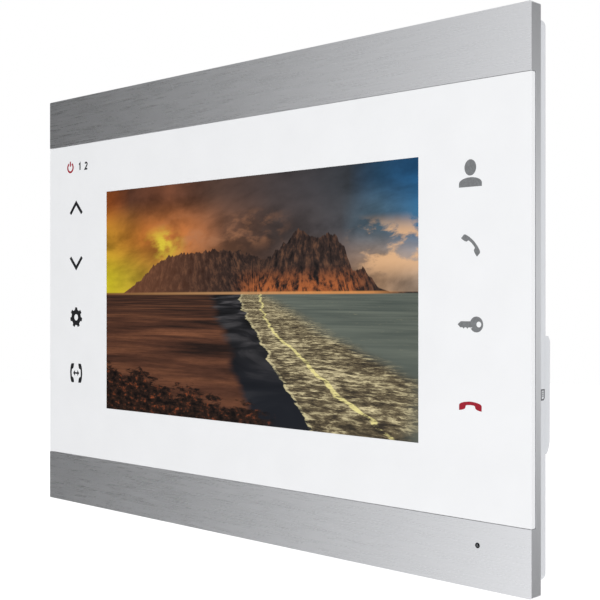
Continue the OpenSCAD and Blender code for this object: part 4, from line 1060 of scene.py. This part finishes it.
class INTERCOM_OT_stage(bpy.types.Operator):
    """Sets up the camera, the soft light, the reflection cards and the pale floor"""
    bl_idname = "intercom.stage"
    bl_label = "Stage"

    def execute(self, context):
        settings = context.scene.intercom_stage
        context.scene.view_settings.view_transform = "Standard"
        camera = bpy.data.objects.new("camera", bpy.data.cameras.new("camera"))
        camera.data.lens = settings.lens
        camera.data.shift_x = settings.shift
        camera.location = (settings.camera_side, FRONT - settings.camera_reach, 0)
        camera.rotation_euler = (math.radians(90), 0, settings.camera_turn)
        context.scene.collection.objects.link(camera)
        context.scene.camera = camera

        world = bpy.data.worlds.new("even_light")
        world.use_nodes = True
        net = Net(world.node_tree)
        seen = net.value("LightPath", output="Is Camera Ray")
        sky = world.node_tree.nodes["Background"]
        sky.inputs["Color"].default_value = (1, 1, 1, 1)
        strength = net.value("MapRange", {"Value": seen, "To Min": settings.ambient, "To Max": 1.0})
        net.link(strength, sky.inputs["Strength"])
        context.scene.world = world
        lamp("key_light", (0.9, -1.1, 0.9), (0.05, FRONT, 0), settings.key)
        lamp("rear_light", (-0.9, 1.2, 0.7), (0, 0, 0), settings.key)

        left, right, near, tall = -9.0, -0.1, -1.5, 2.4
        corners = [(left, near, -tall), (left, near, tall), (right, near, tall), (right, near, -tall)]
        stops = ((0.0, 0.02), (0.63, 0.022), (0.754, 0.06), (0.837, 0.225), (0.888, 0.47), (0.921, 0.68),
                 (1.0, 0.92))
        reflector("card_front", corners, stops, "X", left, right, strength=1.4, lean=-0.22)
        side, low_y, high_y, tall, band = 1.3, -0.2, 6.0, 1.8, 0.75
        corners = [(side, low_y, -tall), (side, high_y, -tall), (side, high_y, tall), (side, low_y, tall)]
        stops = ((0.0, 0.2), (0.1, 0.28), (0.173, 0.4), (0.32, 0.68), (0.5, 0.8), (0.647, 0.72), (0.793, 0.5),
                 (0.853, 0.4), (1.0, 0.22))
        reflector("card_side", corners, stops, "Z", -band, band)

        half = 14.0
        ground = rectangle((-half, -half), (half, half))
        paint = Finish("pale_floor", roughness=0.9, emission_strength=0.4, emission_color=(1, 1, 1, 1))
        paint.feed(base_color=paint.ramp(paint.noise(8 * MM), (0.3, 0.86), (0.7, 0.9)))
        stage_face("floor", [(x, y, settings.floor_z) for x, y in ground], paint.material)
        return {"FINISHED"}


# ---------------------------------------------------------------- outside pieces

class INTERCOM_OT_metal_frame(bpy.types.Operator):
    """Makes the brushed metal frame with its two bars"""
    bl_idname = "intercom.metal_frame"
    bl_label = "Metal frame"

    def execute(self, context):
        settings = context.scene.intercom_shell
        metal = brushed("brushed_aluminium", settings.metal, "X", 0.3)
        finished_copy("front_frame", "metal_frame", settings.edge_round, metal)
        return {"FINISHED"}


class INTERCOM_OT_cover_glass(bpy.types.Operator):
    """Makes the white cover glass and its lit window"""
    bl_idname = "intercom.cover_glass"
    bl_label = "Cover glass"

    def execute(self, context):
        glass, picture = context.scene.intercom_glass, context.scene.intercom_picture
        low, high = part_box("front_glass")
        front = low.y + glass.face_step
        x, z = picture.width / 2, picture.height / 2
        loops = [rectangle((low.x, low.z), (high.x, high.z)), rectangle((-x, -z), (x, z))]
        surround = linked("glass_surround", flat_mesh(loops, front, high.y), white_glass())
        settle(bevelled(surround, glass.edge_round), "front_glass")
        gap = 0.02 * MM
        pane = flat_mesh([rectangle((gap - x, gap - z), (x - gap, z - gap))], front, high.y)
        lit = linked("glass_window", pane, lit_picture(picture.width, picture.height))
        beside(bevelled(lit, 0.05 * MM), "front_glass")
        return {"FINISHED"}


class INTERCOM_OT_touch_symbols(bpy.types.Operator):
    """Makes the printed symbols of the touch keys and the indicators"""
    bl_idname = "intercom.touch_symbols"
    bl_label = "Touch symbols"

    def execute(self, context):
        ink = context.scene.intercom_symbols
        proud, sunk = 0.004 * MM, 0.02 * MM
        front, back = FRONT + proud, FRONT + context.scene.intercom_glass.face_step + sunk
        left, right = ink.left_x, ink.right_x
        rows = [ink.top_z - i * ink.pitch for i in range(4)]
        note_z, note_h = 54.5 * MM, 2.9 * MM
        angle_sign = chevron(7.9 * MM, 4.4 * MM, 1.35 * MM)
        dark = moved(angle_sign, left, rows[0])
        dark += moved(angle_sign, left, rows[1] + 0.2 * MM, 180)
        dark += moved(cog(4.1 * MM, 7, 1.3 * MM), left, rows[2] + 0.3 * MM)
        for side in (-1, 1):
            dark += moved(receiver(1.1), left + side * 1.5 * MM, rows[3], -side * 90)
        dark += moved(double_arrow(4.1 * MM, 2.4 * MM, 0.65 * MM), left, rows[3])
        dark += moved(digit_one(note_h, 0.68 * MM), left + 2.6 * MM, note_z)
        dark += moved(digit_two(note_h, 0.66 * MM), left + 6.8 * MM, note_z)
        grey = moved(person(7.9 * MM), right, rows[0] - 0.9 * MM)
        grey += moved(receiver(1.0), right - 0.45 * MM, rows[1] + 0.15 * MM, -45)
        grey += moved(door_key(8.8 * MM), right, rows[2] + 0.35 * MM)
        red = moved(receiver(1.1), right, rows[3] - 2.15 * MM)
        red += moved(power_sign(1.85 * MM, 0.78 * MM), left - 4.0 * MM, note_z)
        for name, loops, shown in (("dark", dark, ink.dark), ("grey", grey, ink.grey), ("red", red, ink.red)):
            print_mesh = flat_mesh(loops, front, back)
            piece = linked(name + "_symbols", print_mesh, printed_ink(name + "_ink", shown))
            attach(piece, body_of("front_glass"))
        return {"FINISHED"}


class INTERCOM_OT_rear_housing(bpy.types.Operator):
    """Makes the moulded rear housing and the sign beside its card slot"""
    bl_idname = "intercom.rear_housing"
    bl_label = "Rear housing"

    def execute(self, context):
        plastic = moulded("housing_plastic", context.scene.intercom_shell.plastic, contrast=0.02)
        finished_copy("rear_housing", "housing_shell", 0.12 * MM, plastic, angle=CURVED)
        outline = [(-1.6, -1.0), (1.6, -1.0), (1.6, 0.35), (0.95, 1.0), (-1.6, 1.0)]
        window = [(-1.2, -0.6), (-1.2, 0.6), (0.78, 0.6), (1.2, 0.18), (1.2, -0.6)]
        pins = [rectangle((-0.9 + 0.55 * i, -0.3), (-0.6 + 0.55 * i, 0.4)) for i in range(3)]
        loops = [[(u * MM, v * MM) for u, v in loop] for loop in (outline, window, *pins)]
        skin = 0.02 * MM
        mesh = flat_mesh(loops, -skin, skin)
        quarter = math.radians(90)
        behind = 10.2 * MM
        place = Vector((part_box("rear_housing")[1].x, FRONT + behind, centre(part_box("memory_card")).z))
        turn = Matrix.Rotation(quarter, 4, "Z") @ Matrix.Rotation(quarter, 4, "Y")
        mesh.transform(Matrix.Translation(place) @ turn)
        sign = linked("card_sign", mesh, printed_ink("sign_ink", tone(92, 93, 97)))
        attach(sign, body_of("rear_housing"))
        return {"FINISHED"}


class INTERCOM_OT_wall_bracket(bpy.types.Operator):
    """Makes the pressed steel wall bracket"""
    bl_idname = "intercom.wall_bracket"
    bl_label = "Wall bracket"

    def execute(self, context):
        copies(("wall_bracket", "bracket_plate", 0.15))
        return {"FINISHED"}


# ---------------------------------------------------------------- fastenings, display and boards

def solid_mesh(name, build):
    """A mesh of the shapes that build adds to it."""
    mesh = bpy.data.meshes.new(name)
    with opened(mesh) as shape:
        build(shape)
    return mesh


def carved(piece, pits):
    """The piece with round pits cut into it; each pit is (centre, radius, depth) along Y."""
    def drums(shape):
        for spot, radius, depth in pits:
            bmesh.ops.create_cone(shape, cap_ends=True, segments=24, radius1=radius, radius2=radius,
                                  depth=depth, matrix=Matrix.Translation(spot) @ ALONG_Y)

    tool = linked("pits", solid_mesh("pits", drums))
    cut = piece.modifiers.new("pits", "BOOLEAN")
    cut.object = tool
    cut.solver = "EXACT"
    applied(piece)
    bpy.data.objects.remove(tool)
    return piece


def blocks(name, boxes, slot, edge, segments=2):
    """A piece of closed blocks between low and high corners, with rounded edges."""
    def cubes(shape):
        for low, high in boxes:
            place = Matrix.Translation(centre((low, high))) @ Matrix.Diagonal((*(high - low), 1))
            bmesh.ops.create_cube(shape, size=1, matrix=place)

    return bevelled(linked(name, solid_mesh(name, cubes), finish_of(slot)), edge, segments)


def chips(name, boxes, leg_room, width=0.1 * MM):
    """Moulded chip bodies in the boxes, with a mark pit by the first leg and room for legs at two sides."""
    inset = Vector((leg_room, 0, 0))
    lift = Vector((0, LEG_LIFT, 0))
    bodies = [(low + inset + lift, high - inset) for low, high in boxes]
    pits = []
    away, radius, depth = 0.15, 0.06, 0.1 * MM
    for low, high in bodies:
        reach = min(high.x - low.x, high.z - low.z)
        spot = Vector((low.x + away * reach, high.y, high.z - away * reach))
        pits.append((spot, radius * reach, depth))
    return smooth(carved(blocks(name, bodies, "chip_black", width), pits))


def bent_legs(name, spots, turns, reach, drop, width):
    """Bent legs at the spots, each turned about Y."""
    values = {"Reach": reach, "Drop": drop, "Width": width, "Thickness": 0.1 * MM,
              "Metal": finish_of("solder")}
    return grown(name, chip_leg_recipe(), spots, values, turns)


def legs(name, boxes, leg_room, pitch, width):
    """Bent legs along both upright sides of the chips in the boxes."""
    spots, turns = [], []
    for low, high in boxes:
        count = int((high.z - low.z - 2 * width) / pitch)
        start = (low.z + high.z) / 2 - (count - 1) * pitch / 2
        for i in range(count):
            for x, turn in ((low.x + leg_room, math.pi), (high.x - leg_room, 0.0)):
                spots.append((x, (low.y + high.y) / 2, start + i * pitch))
                turns.append(turn)
    drop = (boxes[0][1].y - boxes[0][0].y) / 2 - LEG_LIFT
    return bent_legs(name, spots, turns, leg_room, drop, width)


def soldered(name, boxes, slot, cap, cap_width=1.0, cap_height=1.0, edge=0.04 * MM):
    """Like parts between two plated ends, one in each box, all of one size."""
    spots = [centre(box) for box in boxes]
    turns = [0.0 if high.x - low.x > high.z - low.z else math.pi / 2 for low, high in boxes]
    size = boxes[0][1] - boxes[0][0]
    width = min(size.x, size.z)
    values = {"Length": max(size.x, size.z), "Width": width, "Height": size.y, "Cap": cap,
              "Cap width": width * cap_width, "Cap height": size.y * cap_height,
              "Body": finish_of(slot), "Metal": finish_of("solder")}
    return bevelled(grown(name, surface_part_recipe(), spots, values, turns), edge)


def lamps(name, spots, size, tilt):
    """Light-emitting packages of one size at the spots."""
    values = {"Length": size.x, "Width": size.z, "Height": size.y, "Tilt": tilt,
              "Body": finish_of("white_plastic"), "Window": finish_of("led_yellow"),
              "Metal": finish_of("solder")}
    return grown(name, led_recipe(), spots, values)


class INTERCOM_OT_screws(bpy.types.Operator):
    """Makes the cross head screws of the housing, the carrier and the main board"""
    bl_idname = "intercom.screws"
    bl_label = "Screws"

    def execute(self, context):
        sizes = context.scene.intercom_screws
        recipe = screw_recipe()
        rows = (("housing", sizes.housing_head, sizes.housing_shank),
                ("carrier", sizes.small_head, sizes.small_shank),
                ("board", sizes.small_head, sizes.small_shank))
        for place, head, shank in rows:
            node = place + "_screws"
            boxes = solids_of(node)
            low, high = boxes[0]
            seat = high.y - head
            spots = [(centre(box).x, seat, centre(box).z) for box in boxes]
            values = {"Head diameter": high.x - low.x, "Head height": head, "Shank diameter": shank,
                      "Length": seat - low.y, "Pitch": sizes.pitch, "Metal": finish_of(slot_of(node))}
            settle(grown(place + "_cross_screws", recipe, spots, values), node)
        return {"FINISHED"}


class INTERCOM_OT_display_module(bpy.types.Operator):
    """Makes the layers of the display: its metal bezel, panel, films, light guide, lamps, tray and ribbon"""
    bl_idname = "intercom.display_module"
    bl_label = "Display module"

    def execute(self, context):
        copies(("display_bezel", "display_metal_bezel", 0.12), ("display_tray", "display_back_tray", 0.2),
               ("display_flex", "display_ribbon", 0), ("display_panel", "display_cell", 0.08),
               ("display_light_guide", "display_guide_plate", 0.1))
        low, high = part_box("display_led_strip")
        strip_t = 0.3 * MM
        strip = [(low, Vector((high.x, high.y, low.z + strip_t)))]
        settle(blocks("display_lamp_strip", strip, "white_film", 0.05 * MM), "display_led_strip")
        count, lamp_w = 27, 3.2 * MM
        pitch = (high.x - low.x) / count
        size = Vector((lamp_w, high.z - low.z - strip_t, high.y - low.y))
        spots = [(low.x + pitch * (i + 0.5), (low.y + high.y) / 2, high.z - size.y / 2) for i in range(count)]
        beside(lamps("display_lamps", spots, size, math.radians(-90)), "display_led_strip")
        low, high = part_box("display_films")
        count, first_tab, tab_step, tab_w, tab_h = 3, 18 * MM, 52 * MM, 8 * MM, 1.5 * MM
        pitch = Vector((0, (high.y - low.y) / count, 0))
        share = 0.85
        films = []
        for i in range(count):
            back = Vector((high.x, low.y, high.z - tab_h)) + pitch * (i + share)
            tab = low.x + first_tab + tab_step * i
            films.append((low + pitch * i, back))
            films.append((Vector((tab, low.y, back.z)) + pitch * i, Vector((tab + tab_w, back.y, high.z))))
        settle(blocks("display_film_stack", films, "white_film", 0.02 * MM), "display_films")
        paint("display_gasket", "glass_adhesive")
        return {"FINISHED"}


class INTERCOM_OT_touch_boards(bpy.types.Operator):
    """Makes the touch boards with their lamps, controllers, diffusers and cables"""
    bl_idname = "intercom.touch_boards"
    bl_label = "Touch boards"

    def execute(self, context):
        for side in ("left", "right"):
            copies((f"touch_board_{side}", f"touch_circuit_{side}", 0.06),
                   (f"touch_diffuser_{side}", f"light_diffuser_{side}", 0.2),
                   (f"touch_cable_{side}", f"touch_ribbon_{side}", 0))
        boxes = solids_of("touch_leds")
        size = boxes[0][1] - boxes[0][0]
        settle(lamps("touch_lamps", [centre(box) for box in boxes], size, 0.0), "touch_leds")
        large, small = [], []
        smallest_chip, leg_room, leg_pitch, leg_w = 2 * MM, 0.5 * MM, 0.5 * MM, 0.2 * MM
        for box in solids_of("touch_chips"):
            (large if box[1].x - box[0].x > smallest_chip else small).append(box)
        settle(chips("touch_controllers", large, leg_room), "touch_chips")
        beside(legs("touch_controller_legs", large, leg_room, leg_pitch, leg_w), "touch_chips")
        beside(soldered("touch_resistors", small, "chip_black", 0.3 * MM), "touch_chips")
        return {"FINISHED"}


class INTERCOM_OT_carrier(bpy.types.Operator):
    """Makes the inner carrier that holds the display, the boards and the speaker"""
    bl_idname = "intercom.carrier"
    bl_label = "Carrier"

    def execute(self, context):
        copies(("inner_carrier", "inner_carrier_frame", 0.15), angle=CURVED)
        return {"FINISHED"}


class INTERCOM_OT_main_board(bpy.types.Operator):
    """Makes the main board and the parts soldered to it"""
    bl_idname = "intercom.main_board"
    bl_label = "Main board"

    def execute(self, context):
        copies(("main_board", "main_circuit_board", 0.06))
        settle(chips("processor_package", solids_of("processor"), 0.05 * MM, 0.15 * MM), "processor")
        copies(("processor_shield", "processor_can", 0.18))
        boxes, leg_room = solids_of("memory_chips"), 0.8 * MM
        settle(chips("memory_packages", boxes, leg_room), "memory_chips")
        beside(legs("memory_legs", boxes, leg_room, 0.65 * MM, 0.28 * MM), "memory_chips")
        ceramic = soldered("ceramic_parts", solids_of("board_passives"), "passive_tan", 0.32 * MM)
        settle(ceramic, "board_passives")
        tantalum = soldered("tantalum_capacitors", solids_of("board_capacitors"), "capacitor_gold",
                            0.35 * MM, cap_width=0.56, cap_height=0.55, edge=0.12 * MM)
        settle(tantalum, "board_capacitors")
        copies(("board_inductors", "power_inductors", 0.15))
        copies(("backup_cell", "coin_cell", 0.22), angle=CURVED)
        copies(("backup_cell_clip", "coin_cell_clip", 0.06), ("lead_headers", "lead_sockets", 0.1))
        return {"FINISHED"}


class INTERCOM_OT_ribbon_connectors(bpy.types.Operator):
    """Makes the ribbon connectors on the front of the main board"""
    bl_idname = "intercom.ribbon_connectors"
    bl_label = "Ribbon connectors"

    def execute(self, context):
        lip = Vector((0, 0.15 * MM, 0))
        rows = (("display_connector", "display_ribbon_socket"), ("touch_connectors", "touch_ribbon_sockets"))
        for node, name in rows:
            boxes, parts, spots, turns = solids_of(node), [], [], []
            for low, high in boxes:
                size, middle = high - low, centre((low, high))
                wide = size.x > size.z
                lever = 0.32 * min(size.x, size.z)
                inner = high - Vector((0, 0, lever) if wide else (lever, 0, 0))
                outer = Vector((low.x, low.y, inner.z) if wide else (inner.x, low.y, low.z))
                parts += [(low, inner), (outer + lip, high)]
                count = int((max(size.x, size.z) - 2 * MM) / MM)
                for i in range(count):
                    along = (i - (count - 1) / 2) * MM
                    x, z = (middle.x + along, low.z) if wide else (low.x, middle.z + along)
                    spots.append((x, middle.y, z))
                    turns.append(math.pi / 2 if wide else math.pi)
            settle(blocks(name, parts, "ivory_plastic", 0.08 * MM), node)
            drop = LEG_LIFT - (boxes[0][1].y - boxes[0][0].y) / 2
            beside(bent_legs(name + "_tails", spots, turns, 0.7 * MM, drop, 0.3 * MM), node)
        return {"FINISHED"}


class INTERCOM_OT_wall_sockets(bpy.types.Operator):
    """Makes the sockets for the wires from the wall and their pins"""
    bl_idname = "intercom.wall_sockets"
    bl_label = "Wall sockets"

    def execute(self, context):
        nodes = ("door_socket_1", "door_socket_2", "monitor_socket", "power_socket")
        copies(*[(node, node + "_shell", 0.12) for node in nodes])
        boxes = solids_of("socket_pins")
        low, high = boxes[0]
        spots = [(centre(box).x, box[0].y, centre(box).z) for box in boxes]
        values = {"Width": high.x - low.x, "Length": high.y - low.y, "Metal": finish_of("gold_contact")}
        settle(grown("contact_pins", pin_recipe(), spots, values), "socket_pins")
        return {"FINISHED"}


class INTERCOM_OT_card_slot(bpy.types.Operator):
    """Makes the memory card, its push-push socket, the slider and its spring"""
    bl_idname = "intercom.card_slot"
    bl_label = "Card slot"

    def execute(self, context):
        copies(("card_socket_base", "card_tray", 0.08), ("card_socket_shell", "card_cage", 0.05),
               ("card_slider", "card_heart_slider", 0.06), ("memory_card", "storage_card", 0.1))
        boxes = solids_of("card_spring")
        low, high = boxes[0][0], boxes[-1][1]
        extra_turns = 4
        values = {"Coil diameter": high.z - low.z, "Wire diameter": boxes[0][1].x - low.x,
                  "Length": high.x - low.x, "Turns": float(len(boxes) + extra_turns),
                  "Metal": finish_of("plated_steel")}
        middle = centre((low, high))
        spring = grown("card_coil_spring", spring_recipe(), [(low.x, middle.y, middle.z)], values)
        settle(spring, "card_spring")
        low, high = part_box("memory_card")
        count, pitch, first, pad_h, skin = 8, 1.1 * MM, 1.6 * MM, 0.8 * MM, 0.02 * MM
        start, end = low.x + 0.6 * MM, low.x + 3.5 * MM
        pads = []
        for i in range(count):
            top = high.z - first - pitch * i
            pads.append((Vector((start, low.y - skin, top - pad_h)), Vector((end, low.y + skin, top))))
        beside(blocks("card_contacts", pads, "gold_contact", 0.008 * MM, 1), "memory_card")
        return {"FINISHED"}


class INTERCOM_OT_sound_parts(bpy.types.Operator):
    """Makes the speaker and the microphone with their leads"""
    bl_idname = "intercom.sound_parts"
    bl_label = "Speaker and microphone"

    def execute(self, context):
        copies(("speaker_basket", "speaker_frame", 0.1), ("speaker_yoke", "speaker_back_yoke", 0.12),
               ("speaker_magnet", "speaker_ring_magnet", 0.15), ("speaker_cone", "speaker_paper_cone", 0),
               ("speaker_surround", "speaker_roll_surround", 0), ("microphone", "microphone_capsule", 0.12),
               ("microphone_boot", "microphone_sleeve", 0.15), angle=CURVED)
        paint("speaker_gasket")
        wires = (finish_of("lead_insulation"), finish_of("black_insulation"))
        for source in ("speaker", "microphone"):
            piece = finished_copy(source + "_leads", source + "_wires", 0, *wires)
            with opened(piece.data) as shape:
                shape.verts.ensure_lookup_table()
                reached = set(joined_to(shape.verts[0]))
                for face in shape.faces:
                    face.material_index = int(face.verts[0] in reached)
        return {"FINISHED"}


SETTINGS = {
    "intercom_glass": GlassSettings, "intercom_picture": PictureSettings, "intercom_symbols": SymbolSettings,
    "intercom_shell": ShellSettings, "intercom_screws": ScrewSettings, "intercom_stage": StageSettings,
}
OPERATORS = (
    INTERCOM_OT_stage, INTERCOM_OT_metal_frame, INTERCOM_OT_cover_glass, INTERCOM_OT_touch_symbols,
    INTERCOM_OT_rear_housing, INTERCOM_OT_wall_bracket, INTERCOM_OT_screws, INTERCOM_OT_display_module,
    INTERCOM_OT_touch_boards, INTERCOM_OT_carrier, INTERCOM_OT_main_board, INTERCOM_OT_ribbon_connectors,
    INTERCOM_OT_wall_sockets, INTERCOM_OT_card_slot, INTERCOM_OT_sound_parts,
)


class INTERCOM_PT_pieces(bpy.types.Panel):
    """Lists the pieces of the monitor and their settings"""
    bl_label = "Video intercom monitor"
    bl_space_type = "VIEW_3D"
    bl_region_type = "UI"
    bl_category = "Intercom"

    def draw(self, context):
        for operator in OPERATORS:
            self.layout.operator(operator.bl_idname)
        for name, group in SETTINGS.items():
            box = self.layout.box()
            for key in group.__annotations__:
                box.prop(getattr(context.scene, name), key)


def register():
    for group in SETTINGS.values():
        bpy.utils.register_class(group)
    for name, group in SETTINGS.items():
        setattr(bpy.types.Scene, name, PointerProperty(type=group))
    for shown in (*OPERATORS, INTERCOM_PT_pieces):
        bpy.utils.register_class(shown)


def unregister():
    for shown in (INTERCOM_PT_pieces, *reversed(OPERATORS)):
        bpy.utils.unregister_class(shown)
    for name, group in SETTINGS.items():
        delattr(bpy.types.Scene, name)
        bpy.utils.unregister_class(group)


def main():
    """Makes every piece in order."""
    register()
    for operator in OPERATORS:
        section, name = operator.bl_idname.split(".")
        getattr(getattr(bpy.ops, section), name)()


if __name__ == "__main__":
    main()
